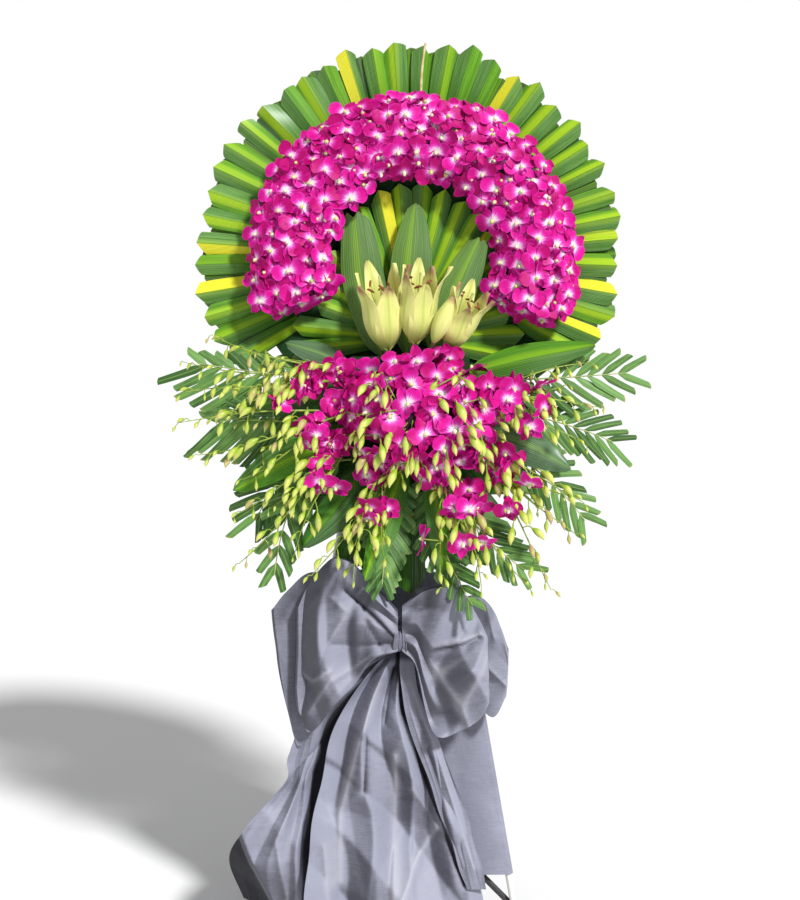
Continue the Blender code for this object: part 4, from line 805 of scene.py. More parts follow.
BIG_LEAVES = (
    ("centre_leaf_left", "Centre leaf", (-0.05, -0.208, 0.031), (-0.052, -0.184, 0.031),
     (-0.086, -0.045, 0.033), (-0.1, 0.076, 0.036), 0.04, 0.75, 0.006),
    ("centre_leaf_middle", "Centre leaf", (-0.002, -0.208, 0.043), (-0.002, -0.184, 0.043),
     (0.004, -0.025, 0.045), (0.013, 0.094, 0.047), 0.0395, 0.3, 0.006),
    ("centre_leaf_right", "Centre leaf", (0.042, -0.208, 0.055), (0.045, -0.184, 0.055),
     (0.092, -0.065, 0.057), (0.132, 0.026, 0.058), 0.035, 0.55, 0.006),
    ("broad_leaf_left_low", "Bright leaf", (-0.094, -0.33, 0.066), (-0.112, -0.33, 0.066),
     (-0.235, -0.385, 0.068), (-0.327, -0.442, 0.068), 0.034, 0.15, 0.008),
    ("broad_leaf_left_mid", "Deep leaf", (-0.094, -0.262, 0.07), (-0.112, -0.262, 0.07),
     (-0.215, -0.272, 0.072), (-0.314, -0.297, 0.072), 0.03, 0.15, 0.007),
    ("broad_leaf_left_high", "Grey leaf", (-0.094, -0.215, 0.052), (-0.112, -0.215, 0.052),
     (-0.165, -0.19, 0.054), (-0.23, -0.168, 0.054), 0.023, 0.2, 0.006),
    ("broad_leaf_bottom_left", "Deep leaf", (-0.075, -0.382, 0.066), (-0.075, -0.4, 0.066),
     (-0.14, -0.485, 0.082), (-0.197, -0.547, 0.096), 0.032, 0.15, 0.008),
    ("broad_leaf_bottom_mid", "Bright leaf", (-0.01, -0.382, 0.072), (-0.01, -0.4, 0.072),
     (-0.045, -0.51, 0.087), (-0.081, -0.607, 0.102), 0.026, 0.2, 0.007),
    ("broad_leaf_bottom_right", "Bright leaf", (0.038, -0.382, 0.066), (0.038, -0.4, 0.066),
     (0.052, -0.505, 0.081), (0.06, -0.594, 0.096), 0.0195, 0.2, 0.006),
    ("broad_leaf_right_high", "Bright leaf", (0.098, -0.222, 0.052), (0.116, -0.222, 0.052),
     (0.225, -0.196, 0.054), (0.347, -0.172, 0.056), 0.029, 0.2, 0.007),
    ("broad_leaf_right_mid", "Grey leaf", (0.098, -0.322, 0.066), (0.116, -0.322, 0.066),
     (0.22, -0.362, 0.068), (0.3, -0.403, 0.07), 0.034, 0.15, 0.007),
)
STALK_HALF = 0.0018

# Backing leaves in the shade round the foam block; their form is half width, fold and point

BACKING_COUNT = 19
BACKING_DROP = 0.46
BACKING_ANGLES = np.radians((158.0, 382.0))
BACKING_MIDDLE = (0.002, -0.295)
BACKING_REACH = (0.085, 0.215)
BACKING_LIFT = (0.006, 0.016)
BACKING_FORM = (0.03, 0.005, 0.022)


def big_leaf(root, base, middle, tip, half_width, blunt, cup, wave, rows=30, columns=15):
    """Draw a broad leaf: past its stalk its half width follows sin(π·t^0.86·(1 − 0.16·blunt)) to the power
    0.85 − 0.35·blunt, its edges fall back with |u|^1.2, and they ruffle with sin(9v)·u²."""
    rib = smooth_rows((root, base, np.add(base, middle) / 2, middle, np.add(middle, tip) / 2, tip), rows)
    v = evenly(rows)
    past_stalk = np.clip((v - 0.14) / 0.86, 0.0, 1.0)
    width = np.sin(math.pi * past_stalk ** 0.86 * (1.0 - 0.16 * blunt)) ** (0.85 - 0.35 * blunt)
    width = STALK_HALF + (half_width - STALK_HALF) * width * ease(v, 0.1, 0.3)
    width[-1] = max(width[-1] * blunt, 0.0008)
    along = unit(np.gradient(rib, axis=0))
    side = unit(np.cross(along, FORWARD))
    u = np.linspace(-1.0, 1.0, columns)
    ruffle = 0.0022 * np.sin(v[:, None] * 9.0 + wave + u * 1.3) * u ** 2 * ease(v, 0.15, 0.5)[:, None]
    depth = -cup * (width / half_width)[:, None] * np.abs(u) ** 1.2 + ruffle
    cut = 0.006 * blunt * np.sin(u * 5.0 + wave) * v[:, None] ** 8
    return rib[:, None] + side[:, None] * (width[:, None] * u)[..., None] + FORWARD * depth[..., None] \
        + along[:, None] * cut[..., None]


class WREATH_OT_big_leaves(bpy.types.Operator):
    """Stand the three large centre leaves and lay the broad leaves round the foam block"""

    bl_idname = "wreath.big_leaves"
    bl_label = "Large leaves"

    def execute(self, context):
        sizes = context.scene.wreath_sizes
        looks = {name: striped_leaf(name, *values) for name, values in LEAF_LOOKS.items()}
        for number, (name, look, *shape) in enumerate(BIG_LEAVES):
            shapes = Shapes()
            shapes.sheets(big_leaf(*shape, wave=number * 1.7)[None], sizes.leaf, 0.3 + 0.05 * (number % 8))
            shapes.build(name + "_blade", [looks[look]], [name])
        self.backing(sizes, looks["Deep leaf"])
        return {"FINISHED"}

    def backing(self, sizes, look):
        """Lay plain folded leaves flat round the block, behind everything else; their deep green also paints
        the shade between the fronds.
        """
        chance = np.random.default_rng(SEEDS["backing"])
        shapes = Shapes()
        angles = np.linspace(*BACKING_ANGLES, BACKING_COUNT) + chance.uniform(-0.05, 0.05, BACKING_COUNT)
        outer = BACKING_REACH[1] * (1.0 + BACKING_DROP * np.maximum(-np.sin(angles), 0.0) ** 3)
        outer = outer + chance.uniform(-0.035, 0.02, BACKING_COUNT)
        half, fold, point = (np.full(BACKING_COUNT, value) for value in BACKING_FORM)
        leaves = fan_row(chance, angles, BACKING_REACH[0], outer, BACKING_LIFT, half, fold, point)
        leaves = leaves + (*BACKING_MIDDLE, 0.0)
        shapes.sheets(leaves, sizes.leaf, chance.uniform(0.0, 0.5, BACKING_COUNT))
        shapes.build("backing_leaves", [look], sharp=40.0)


# Fronds: name, face, place, forward, tip, leaflet pairs, lengths on each side, forward bend, half width

FRONDS = (
    ("frond_left_high", "left", -0.232, 0.03, (-0.395, -0.204), 11, (0.135, 0.058), 0.004, 0.0108),
    ("frond_left_mid", "left", -0.285, 0.048, (-0.358, -0.316), 17, (0.13, 0.062), 0.004, 0.0086),
    ("frond_left_low", "left", -0.35, 0.018, (-0.29, -0.5), 12, (0.08, 0.095), 0.004, 0.0098),
    ("frond_bottom_left", "left", -0.385, 0.03, (-0.25, -0.6), 11, (0.074, 0.072), 0.052, 0.0104),
    ("frond_bottom_mid", "bottom", -0.04, 0.042, (-0.05, -0.615), 13, (0.064, 0.064), 0.052, 0.0092),
    ("frond_bottom_right", "bottom", 0.034, 0.03, (0.115, -0.65), 12, (0.056, 0.062), 0.094, 0.0092),
    ("frond_right_low", "bottom", 0.088, 0.018, (0.215, -0.59), 11, (0.078, 0.072), 0.052, 0.0088),
    ("frond_right_mid", "right", -0.362, 0.042, (0.33, -0.5), 11, (0.074, 0.08), 0.004, 0.0088),
    ("frond_right_high", "right", -0.236, 0.03, (0.408, -0.222), 11, (0.085, 0.092), 0.004, 0.0092),
    ("frond_right_level", "right", -0.29, 0.018, (0.386, -0.352), 13, (0.08, 0.092), 0.004, 0.008),
)


def face_root(face, place, forward):
    """Return a stem's root inside the foam block, and the point where it leaves the block's face."""
    if face == "left":
        return (BLOCK_LOW[0] + HOLE_DEPTH, place, forward), (BLOCK_LOW[0] - STEM_OUT, place, forward)
    if face == "right":
        return (BLOCK_HIGH[0] - HOLE_DEPTH, place, forward), (BLOCK_HIGH[0] + STEM_OUT, place, forward)
    return (place, BLOCK_LOW[1] + HOLE_DEPTH, forward), (place, BLOCK_LOW[1] - STEM_OUT, forward)


def bent_rib(root, base, tip, bend, rows):
    """Curve a rib from the block's face to its tip: a quadratic with its middle straight out from the face,
    and a forward bend that grows with the square of the way along."""
    root, base, tip = (np.asarray(value, float) for value in (root, base, tip))
    middle = base + unit(base - root) * np.linalg.norm(tip - base) * 0.45
    share = evenly(rows)[:, None]
    rib = (1 - share) ** 2 * base + 2 * share * (1 - share) * middle + share ** 2 * tip
    return rib + FORWARD * bend * share ** 2


class WREATH_OT_fronds(bpy.types.Operator):
    """Spread the palm fronds, with trimmed leaflets on both sides of each rib"""

    bl_idname = "wreath.fronds"
    bl_label = "Palm fronds"

    def execute(self, context):
        sizes, colours = context.scene.wreath_sizes, context.scene.wreath_colours
        chance = np.random.default_rng(SEEDS["fronds"])
        materials = [palm_leaf("Palm leaflet", colours.frond, colours.frond_fresh), plant_part("Palm rib")]
        for name, face, place, forward, tip, pairs, lengths, bend, half_width in FRONDS:
            shapes = Shapes()
            root, base = face_root(face, place, forward)
            spine = bent_rib(root, base, (*tip, forward), bend, 24)
            path = np.concatenate((np.array([root]), spine))
            shapes.tubes(path[None], np.linspace(0.0022, 0.0009, len(path)), 6, slot=RIB)
            for side, length in zip((-1.0, 1.0), lengths):
                shapes.sheets(self.leaflets(spine, side, length, pairs, half_width, chance), sizes.leaf,
                              chance.uniform(0, 1, pairs))
            shapes.build(name + "_leaves", materials, [name])
        return {"FINISHED"}

    def leaflets(self, spine, side, length, pairs, half_width, chance, rows=8, columns=5):
        """Set leaflets down one side: each leaves the rib at 60 to 28 degrees, droops with v², is folded
        along its own rib, and keeps nearly its full width to its cut end."""
        place = (np.arange(pairs) + 0.5 + chance.uniform(-0.12, 0.12, pairs)) / pairs
        base = along_path(spine, 0.06 + 0.93 * place)
        along = unit(along_path(unit(np.gradient(spine, axis=0)), place))
        across = unit(np.cross(along, FORWARD)) * side
        size = length * (0.8 + 0.3 * np.sin(math.pi * (0.1 + 0.75 * place)) - 0.3 * place)
        size = (size * chance.uniform(0.88, 1.06, pairs))[:, None]
        turn = np.radians(60.0 - 32.0 * place + chance.uniform(-5, 5, pairs))[:, None]
        out = along * np.cos(turn) + across * np.sin(turn)
        v = evenly(rows)
        droop = -(0.05 + chance.uniform(0.0, 0.06, (pairs, 1))) * size * v ** 2
        curve = 0.1 * size * v ** 2
        rib = base[:, None] + out[:, None] * (size * v)[..., None] + along[:, None] * curve[..., None]
        rib = rib + FORWARD * droop[..., None]
        roll = chance.uniform(-0.28, 0.28, (pairs, 1))
        blade = unit(np.cross(out, FORWARD)) * np.cos(roll) + FORWARD * np.sin(roll)
        facing = unit(np.cross(blade, out))
        facing = facing * np.sign(facing[:, 2:3])
        shape = np.clip(0.28 + 2.6 * v, 0.0, 1.0) * (1.0 - 0.22 * v ** 2)
        width = half_width * shape * (1.0 - 0.25 * place[:, None])
        u = np.linspace(-1.0, 1.0, columns)
        ends = chance.uniform(-0.004, 0.006, (pairs, 1)) * u + 0.002 * (1 - np.abs(u))
        return fold_leaves(rib, blade, facing, width, width * 0.22, ends, columns)


# Orchid blooms: petals as direction in degrees, length, half width, lift, kind (0 petal, 1 lip)

PETALS = (
    (14.0, 1.04, 0.52, 0.1, 0.0),
    (166.0, 1.04, 0.52, 0.1, 0.0),
    (90.0, 1.06, 0.38, -0.06, 0.0),
    (232.0, 1.04, 0.35, -0.1, 0.0),
    (308.0, 1.04, 0.35, -0.1, 0.0),
    (270.0, 0.62, 0.24, 0.3, 1.0),
)

# Orchid arch: rows of blooms, the two ends' blooms, and the core's outline, as radius and forward

ARCH_START, ARCH_END = math.radians(-24.5), math.radians(200.5)
SECTORS = 5
ARCH_MIDDLE = np.array([0.008, -0.01, 0.0])
ROW_RADII = (0.164, 0.196, 0.229, 0.262, 0.293, 0.18, 0.212, 0.246, 0.277)
ROW_COUNTS = (16, 19, 23, 26, 28, 13, 15, 18, 21)
ROW_HEIGHTS = (0.077, 0.0905, 0.095, 0.0905, 0.077, 0.08, 0.085, 0.085, 0.08)
ROW_TILTS = np.radians((-34.0, -16.0, 0.0, 16.0, 36.0, -22.0, -8.0, 8.0, 22.0))
CORE_PROFILE = ((0.169, 0.0453), (0.286, 0.0453), (0.293, 0.056), (0.286, 0.069), (0.268, 0.078),
                (0.246, 0.083), (0.227, 0.0845), (0.207, 0.083), (0.187, 0.078), (0.169, 0.069),
                (0.162, 0.056))
END_RADII = (0.184, 0.225, 0.266)
END_HEIGHT = 0.064
END_SWING = 0.9

# Orchid mound: its dome, how far forward a petal may reach, and the garlands' limits over the dome's middle

MOUND_CENTRE = np.array([0.022, -0.302, 0.1203])
MOUND_RADII = np.array([0.136, 0.108, 0.066])
MOUND_RIM = math.radians(82)
MOUND_REACH = 0.09
MOUND_BLOOMS = 46
GOLDEN_ANGLE = math.radians(137.508)
DOME_SHARE = 0.78
MOUND_STEMS = 19
MOUND_HEADINGS = np.radians((124.0, 416.0))
GARLAND_LOW, GARLAND_HIGH = MOUND_CENTRE[2] + 0.004, MOUND_CENTRE[2] + 0.057

# Distances between buds and between blooms along a stem

BUD_PITCH = 0.0205
BLOOM_PITCH = 0.052

# Rows of a petal's outline: shares of its length and of its half width, for a round and a pointed petal

ROUND_ROWS = np.array(((0.05, 0.2), (0.3, 0.62), (0.56, 1.0), (0.79, 0.89), (0.95, 0.52), (1.0, 0.1)))
POINTED_ROWS = np.array(((0.05, 0.3), (0.26, 0.74), (0.48, 1.0), (0.72, 0.8), (0.91, 0.38), (1.0, 0.05)))


def petal_grids(count, chance, columns=5):
    """Draw the petals of count blooms that face forward, in bloom radii: point(u, v) = direction·length·v +
    aside·width·outline(v)·u + forward·v·(lift + curl·v + cup·u² + twist·width·u). A lip curls the most."""
    degrees, lengths, widths, lifts, kinds = np.array(PETALS).T
    petals = (count, len(PETALS))
    angle = np.radians(degrees + chance.normal(0.0, 7.0, petals))
    length = lengths * chance.uniform(0.93, 1.06, petals)
    width = widths * chance.uniform(0.9, 1.08, petals)
    curl = np.where(kinds > 0.5, -0.55, -0.14) + chance.normal(0.0, 0.14, petals)
    cup = np.where(kinds > 0.5, 0.22, 0.05) + chance.uniform(-0.05, 0.08, petals)
    twist = chance.normal(0.0, 0.18, petals)
    angle, length, width, curl, cup, twist, lift = (
        np.broadcast_to(value, petals)[..., None, None] for value in
        (angle, length, width, curl, cup, twist, lifts))
    outline = np.where((widths > 0.4)[:, None, None], ROUND_ROWS, POINTED_ROWS)
    v, share = outline[..., :1], outline[..., 1:]
    u = np.linspace(-1.0, 1.0, columns)
    out = length * v
    aside = width * share * u
    rise = lift * v + curl * v ** 2 + cup * u ** 2 * v + twist * u * v * width
    x = out * np.cos(angle) - aside * np.sin(angle)
    y = out * np.sin(angle) + aside * np.cos(angle)
    return np.stack(np.broadcast_arrays(x, y, rise), axis=-1)


def add_blooms(shapes, centres, normals, ups, radii, chance):
    """Set orchid blooms at centres that face along normals, each with a small heart that curves down."""
    normals = unit(normals)
    right = unit(np.cross(ups, normals))
    ups = np.cross(normals, right)
    axes = np.stack((right, ups, normals), axis=1)
    local = petal_grids(len(centres), chance) * radii[:, None, None, None, None]
    points = centres[:, None, None, None] + np.einsum("bprck,bkd->bprcd", local, axes)
    tone = np.repeat(chance.uniform(0.0, 1.0, len(centres)), len(PETALS))
    tone = np.clip(tone + chance.normal(0.0, 0.2, len(tone)), 0.0, 1.0)
    mark = np.tile(np.array(PETALS)[:, -1], len(centres))
    thickness = bpy.context.scene.wreath_sizes.petal
    shapes.sheets(points.reshape(-1, *points.shape[2:]), thickness, tone, mark)
    step = evenly(5)[:, None]
    heart = centres[:, None] + (normals[:, None] * (0.26 * step - 0.02) - ups[:, None] * 0.1 * step ** 2) \
        * radii[:, None, None]
    sizes = radii[:, None] * np.array([0.1, 0.12, 0.13, 0.11, 0.06])
    shapes.tubes(heart, sizes, 6, chance.uniform(0.0, 1.0, len(centres)), slot=HEART)


def bloom_materials(colours):
    """Return the finishes of petals, hearts, buds and stems, and of the core under the blooms, dark as
    painted shade.
    """
    return [orchid_petal("Orchid petal", colours.petal, colours.petal_light, colours.petal_white),
            orchid_heart("Orchid heart"),
            orchid_bud("Orchid bud", colours.bud, colours.bud_tip),
            plant_part("Orchid stem"),
            plant_part("Core in painted shade")]


def add_buds(shapes, stem, angle, first, chance):
    """Hang buds on curved stalks down both sides of a stem, from the place first on, smaller towards its
    tip. A bud's radius follows a teardrop, widest at two fifths of its length."""
    largest = bpy.context.scene.wreath_sizes.bud
    length = np.linalg.norm(np.diff(stem, axis=0), axis=-1).sum() * (1.0 - first)
    count = max(4, round(length / BUD_PITCH))
    place = np.linspace(first, 1.0, count) + chance.uniform(-0.015, 0.015, count)
    place[-1] = 1.0
    spot = along_path(stem, place)
    outward, aside = headings(angle)
    sign = np.where(np.arange(count) % 2, 1.0, -1.0)[:, None]
    loose = np.clip(chance.normal(0.0, 0.32, (count, 3)), -0.45, 0.45)
    out = unit(aside * sign * 0.55 + outward * 0.45 + FORWARD * 0.5 + UP_SLOPE * 0.2 + loose)
    fall = unit(outward * 0.36 - UP_SLOPE * 0.8 + aside * sign * 0.22 + FORWARD * 0.18 + loose * 0.8)
    size = np.interp(place, (0.0, 0.6, 1.0), (1.0, 0.84, 0.36)) * chance.uniform(0.7, 1.14, count)
    size = (largest * size)[:, None]
    v = evenly(6)[None, :, None]
    foot = spot + out * size * 0.4 + fall * size * 0.3
    stalk = (1 - v) ** 2 * spot[:, None] + 2 * v * (1 - v) * (spot + out * size * 0.5)[:, None] \
        + v ** 2 * foot[:, None]
    shapes.tubes(stalk, np.linspace(0.001, 0.0014, 6) * (0.5 + 0.5 * size / largest), 5, slot=STEM)
    v = evenly(8)[None, :, None]
    bend = out * 0.1 + FORWARD * 0.05
    body = foot[:, None] + (fall[:, None] * v + bend[:, None] * np.sin(math.pi * v)) * size[:, None]
    teardrop = np.array([0.28, 0.66, 0.94, 1.0, 0.9, 0.66, 0.34, 0.06])
    shapes.tubes(body, teardrop * size * 0.215, 7, chance.uniform(0.0, 1.0, count), slot=BUD, flat=0.86)


def add_stem_blooms(shapes, stem, angle, places, chance):
    """Open blooms at places along a stem, each on a short stalk to one side, facing out and a little down."""
    count = len(places)
    places = places + chance.uniform(-0.03, 0.03, count)
    spot = along_path(stem, places)
    outward, aside = headings(angle)
    sign = np.where(np.arange(count) % 2, 1.0, -1.0)[:, None]
    normals = unit(outward * 0.3 - UP_SLOPE * 0.22 + FORWARD + aside * sign * 0.3
                   + chance.normal(0.0, 0.6, (count, 3)))
    ups = UP_SLOPE + chance.normal(0.0, 0.45, (count, 3))
    centres = spot + normals * 0.015 + aside * sign * chance.uniform(0.004, 0.02, (count, 1))
    radius = bpy.context.scene.wreath_sizes.bloom
    add_blooms(shapes, centres, normals, ups, radius * chance.uniform(0.84, 1.0, count), chance)
    middle = (spot + centres) / 2 + FORWARD * 0.003
    shapes.tubes(np.stack((spot, middle, centres), axis=1), 0.0012, 5, slot=STEM)


class WREATH_OT_orchids(bpy.types.Operator):
    """Pin the orchid blooms on the arch and the mound"""

    bl_idname = "wreath.orchids"
    bl_label = "Orchid arch and mound"

    def execute(self, context):
        sizes, colours = context.scene.wreath_sizes, context.scene.wreath_colours
        chance = np.random.default_rng(SEEDS["orchids"])
        materials = bloom_materials(colours)
        self.arch(sizes, chance, materials)
        self.mound(sizes, chance, materials)
        return {"FINISHED"}

    def arch_rows(self, chance):
        """Place five rows of blooms with four lower rows between them, and three blooms on each end. Return
        columns of angles, radii, heights, tilts outward and swings along the arch."""
        angles, radii, heights, tilts, swings = [], [], [], [], []
        for radius, number, height, tilt in zip(ROW_RADII, ROW_COUNTS, ROW_HEIGHTS, ROW_TILTS):
            share = (np.arange(number) + 0.5 + chance.uniform(-0.22, 0.22, number)) / number
            angles.append(ARCH_START + share * (ARCH_END - ARCH_START))
            radii.append(radius + chance.uniform(-0.005, 0.005, number))
            heights.append(height + chance.uniform(-0.004, 0.004, number))
            tilts.append(tilt + chance.normal(0.0, 0.14, number))
            swings.append(chance.normal(0.0, 0.14, number))
        for end, swing in ((ARCH_START, -END_SWING), (ARCH_END, END_SWING)):
            angles.append(np.full(3, end))
            radii.append(END_RADII)
            heights.append(np.full(3, END_HEIGHT))
            tilts.append(np.zeros(3))
            swings.append(swing + chance.normal(0.0, 0.1, 3))
        return (np.concatenate(part)[:, None] for part in (angles, radii, heights, tilts, swings))

    def arch(self, sizes, chance, materials):
        """Turn the rows' blooms outward and along the arch, and give each to the length that it stands in."""
        angles, radii, heights, tilts, swings = self.arch_rows(chance)
        outward, aside = headings(angles[:, 0])
        face = outward * np.sin(tilts) + FORWARD * np.cos(tilts)
        normals = unit(face * np.cos(swings) + aside * np.sin(swings))
        centres = ARCH_MIDDLE + outward * radii + FORWARD * heights + aside * np.sin(swings) * 0.006
        spin = chance.normal(0.0, 0.45, len(angles))
        ups = np.stack((np.sin(spin), np.cos(spin), np.zeros(len(spin))), axis=-1)
        size = sizes.bloom * chance.uniform(0.92, 1.05, len(angles))
        span = (ARCH_END - ARCH_START) / SECTORS
        sector = np.clip(((angles[:, 0] - ARCH_START) // span).astype(int), 0, SECTORS - 1)
        for number in range(SECTORS):
            shapes = Shapes()
            own = sector == number
            add_blooms(shapes, centres[own], normals[own], ups[own], size[own], chance)
            turns = ARCH_START + span * (number + evenly(12))
            spokes, _ = headings(turns)
            profile = np.array(CORE_PROFILE)
            core = ARCH_MIDDLE + spokes[:, None] * profile[:, :1] + FORWARD * profile[:, 1:]
            shapes.rings(core[None], slot=CORE)
            name = f"orchid_arch_{number + 1}"
            shapes.build(name + "_blooms", materials, [name])

    def mound(self, sizes, chance, materials):
        """Set blooms over a low dome, spread by the golden angle, and turned outward and a little down."""
        shapes = Shapes()
        number = np.arange(MOUND_BLOOMS)
        latitude = np.sqrt((number + 0.5) / MOUND_BLOOMS) * MOUND_RIM
        angle = number * GOLDEN_ANGLE
        direction = np.stack((np.sin(latitude) * np.cos(angle), np.sin(latitude) * np.sin(angle),
                              np.cos(latitude)), axis=-1)
        loose = chance.normal(0.0, 0.52, (MOUND_BLOOMS, 3))
        normals = unit(direction * (0.8, 0.8, 1.3) + loose + (0, -0.15, 0.1))
        swell = 1.0 + chance.uniform(-0.05, 0.1, (MOUND_BLOOMS, 1))
        centres = MOUND_CENTRE + direction * MOUND_RADII * swell + normals * 0.001
        radii = sizes.bloom * chance.uniform(0.92, 1.1, MOUND_BLOOMS)
        sideways = radii * np.hypot(normals[:, 0], normals[:, 1])
        heights = np.clip(centres[:, 2] - MOUND_CENTRE[2], sideways * 0.6, MOUND_REACH - sideways)
        centres[:, 2] = MOUND_CENTRE[2] + heights
        spin = chance.normal(0.0, 0.8, MOUND_BLOOMS)
        ups = np.stack((np.sin(spin), np.cos(spin), np.full(MOUND_BLOOMS, 0.2)), axis=-1)
        add_blooms(shapes, centres, normals, ups, radii, chance)
        tilt = np.linspace(0.0, math.radians(86), 9)
        turn = np.arange(28) * math.tau / 28
        dome = np.stack((np.cos(tilt)[:, None] * np.cos(turn), np.cos(tilt)[:, None] * np.sin(turn),
                         np.broadcast_to(np.sin(tilt)[:, None], (9, 28))), axis=-1)
        shapes.rings((MOUND_CENTRE + dome * MOUND_RADII * DOME_SHARE)[None], slot=CORE)
        self.garlands(shapes, chance)
        shapes.build("orchid_mound_blooms", materials, ["orchid_mound"])

    def garlands(self, shapes, chance, rows=18):
        """Lay stems with buds over the dome: each follows a slice of the dome from near its top to its foot,
        sways aside by 0.016·sin(2.6·tilt), and sags with v²."""
        for heading in np.linspace(*MOUND_HEADINGS, MOUND_STEMS):
            angle = heading + chance.uniform(-0.15, 0.15)
            tilt = np.radians(np.linspace(chance.uniform(5, 30), chance.uniform(80, 105), rows))
            outward, aside = headings(angle)
            slice_of_dome = outward * np.sin(tilt)[:, None] + FORWARD * np.cos(tilt)[:, None]
            path = MOUND_CENTRE + slice_of_dome * MOUND_RADII * chance.uniform(0.99, 1.06)
            path = path + aside * 0.016 * np.sin(tilt * 2.6 + chance.uniform(0.0, 6.0))[:, None]
            path[:, 1] -= 0.012 * evenly(rows) ** 2
            path[:, 2] = np.clip(path[:, 2], GARLAND_LOW, GARLAND_HIGH)
            shapes.tubes(path[None], np.linspace(0.0014, 0.0008, rows), 6, slot=STEM)
            add_buds(shapes, path, angle, 0.15, chance)


# Sprays: name, face, place on it, heading and spread in degrees, share of a stem with blooms, stems' lengths

SPRAYS = (
    ("spray_left_high", "left", -0.232, 170.0, 32.0, 0.4, (0.14, 0.27, 0.18, 0.31, 0.22, 0.3, 0.25)),
    ("spray_left", "left", -0.294, 192.0, 32.0, 0.44, (0.31, 0.2, 0.28, 0.17, 0.22)),
    ("spray_left_low", "left", -0.352, 222.0, 32.0, 0.42, (0.24, 0.18, 0.28, 0.15, 0.21)),
    ("spray_bottom", "bottom", -0.045, 254.0, 38.0, 0.5, (0.22, 0.14, 0.19, 0.12, 0.17)),
    ("spray_bottom_right", "bottom", 0.06, 292.0, 38.0, 0.6, (0.2, 0.13, 0.21, 0.15, 0.25)),
    ("spray_right_low", "right", -0.352, 322.0, 32.0, 0.56, (0.28, 0.16, 0.24, 0.18, 0.22)),
    ("spray_right", "right", -0.27, 364.0, 42.0, 0.66, (0.22, 0.16, 0.24, 0.18, 0.23)),
)
SPRAY_FORWARD = 0.097
STEM_RADII = (0.0022, 0.0008)
FIRST_BUD, FIRST_BLOOM = 0.24, 0.08


class WREATH_OT_sprays(bpy.types.Operator):
    """Fan out the sprays of drooping buds, with a few open blooms near their feet"""

    bl_idname = "wreath.sprays"
    bl_label = "Bud sprays"

    def execute(self, context):
        chance = np.random.default_rng(SEEDS["sprays"])
        materials = bloom_materials(context.scene.wreath_colours)
        for name, face, place, degrees, spread, bloom_reach, lengths in SPRAYS:
            shapes = Shapes()
            root, base = (np.array(value) for value in face_root(face, place, SPRAY_FORWARD))
            shapes.tubes(np.array([[root, (root + base) / 2, base]]), 0.0028, 8, slot=STEM)
            for number, length in enumerate(lengths):
                share = number / (len(lengths) - 1) - 0.5
                angle = math.radians(degrees + share * spread + chance.uniform(-3, 3))
                stem = self.stem(shapes, root + (base - root) * 0.9, angle, length, chance)
                add_buds(shapes, stem, angle, FIRST_BUD, chance)
                places = np.arange(FIRST_BLOOM, bloom_reach, BLOOM_PITCH / length)
                add_stem_blooms(shapes, stem, angle, places, chance)
            shapes.build(name + "_buds", materials, [name])
        return {"FINISHED"}

    def stem(self, shapes, start, angle, length, chance, rows=22):
        """Arch a stem: its forward lift is about 0.03·sin(π·min(1.1v, 1)) + 0.028·v, it sways aside, and it
        droops down the slope with v²."""
        outward, aside = headings(angle)
        v = evenly(rows)[:, None]
        lift = (0.03 + chance.uniform(-0.012, 0.016)) * np.sin(math.pi * np.minimum(v * 1.1, 1.0))
        lift = lift + (0.028 + chance.uniform(-0.014, 0.01)) * v
        path = start + outward * v * length + FORWARD * lift
        path = path + aside * 0.012 * np.sin(v * 4.0 + chance.uniform(0, 6)) * v
        path[:, 1] -= (0.1 * v[:, 0] ** 2 + 0.03 * np.sin(math.pi * v[:, 0])) * length
        shapes.tubes(path[None], np.linspace(*STEM_RADII, rows), 6, slot=STEM)
        return path


# Lilies: name, across, forward, neck, aim, length, spread; the closed one; and the tepals' thickness

LILIES = (
    ("lily_left", -0.036, 0.086, (-0.04, -0.194, 0.096), (-0.1, 0.96, 0.24), 0.172, 0.036),
    ("lily_middle", 0.006, 0.1, (0.008, -0.182, 0.108), (0.09, 0.96, 0.22), 0.162, 0.034),
    ("lily_right", 0.066, 0.088, (0.066, -0.19, 0.098), (0.4, 0.86, 0.3), 0.142, 0.03),
)
BUD_ROOT = (0.038, BLOCK_TOP - HOLE_DEPTH, 0.112)
BUD_NECK = (0.045, -0.168, 0.138)
BUD_AIM = (0.36, 0.84, 0.25)
TEPAL = 0.0012

# Outline of a lily's belly: share of its length, and distance from its axis as a share of its spread

LILY_BELLY = ((0.0, 0.16), (0.12, 0.52), (0.28, 0.84), (0.46, 0.96), (0.66, 0.92), (0.84, 0.84), (1.0, 0.8))


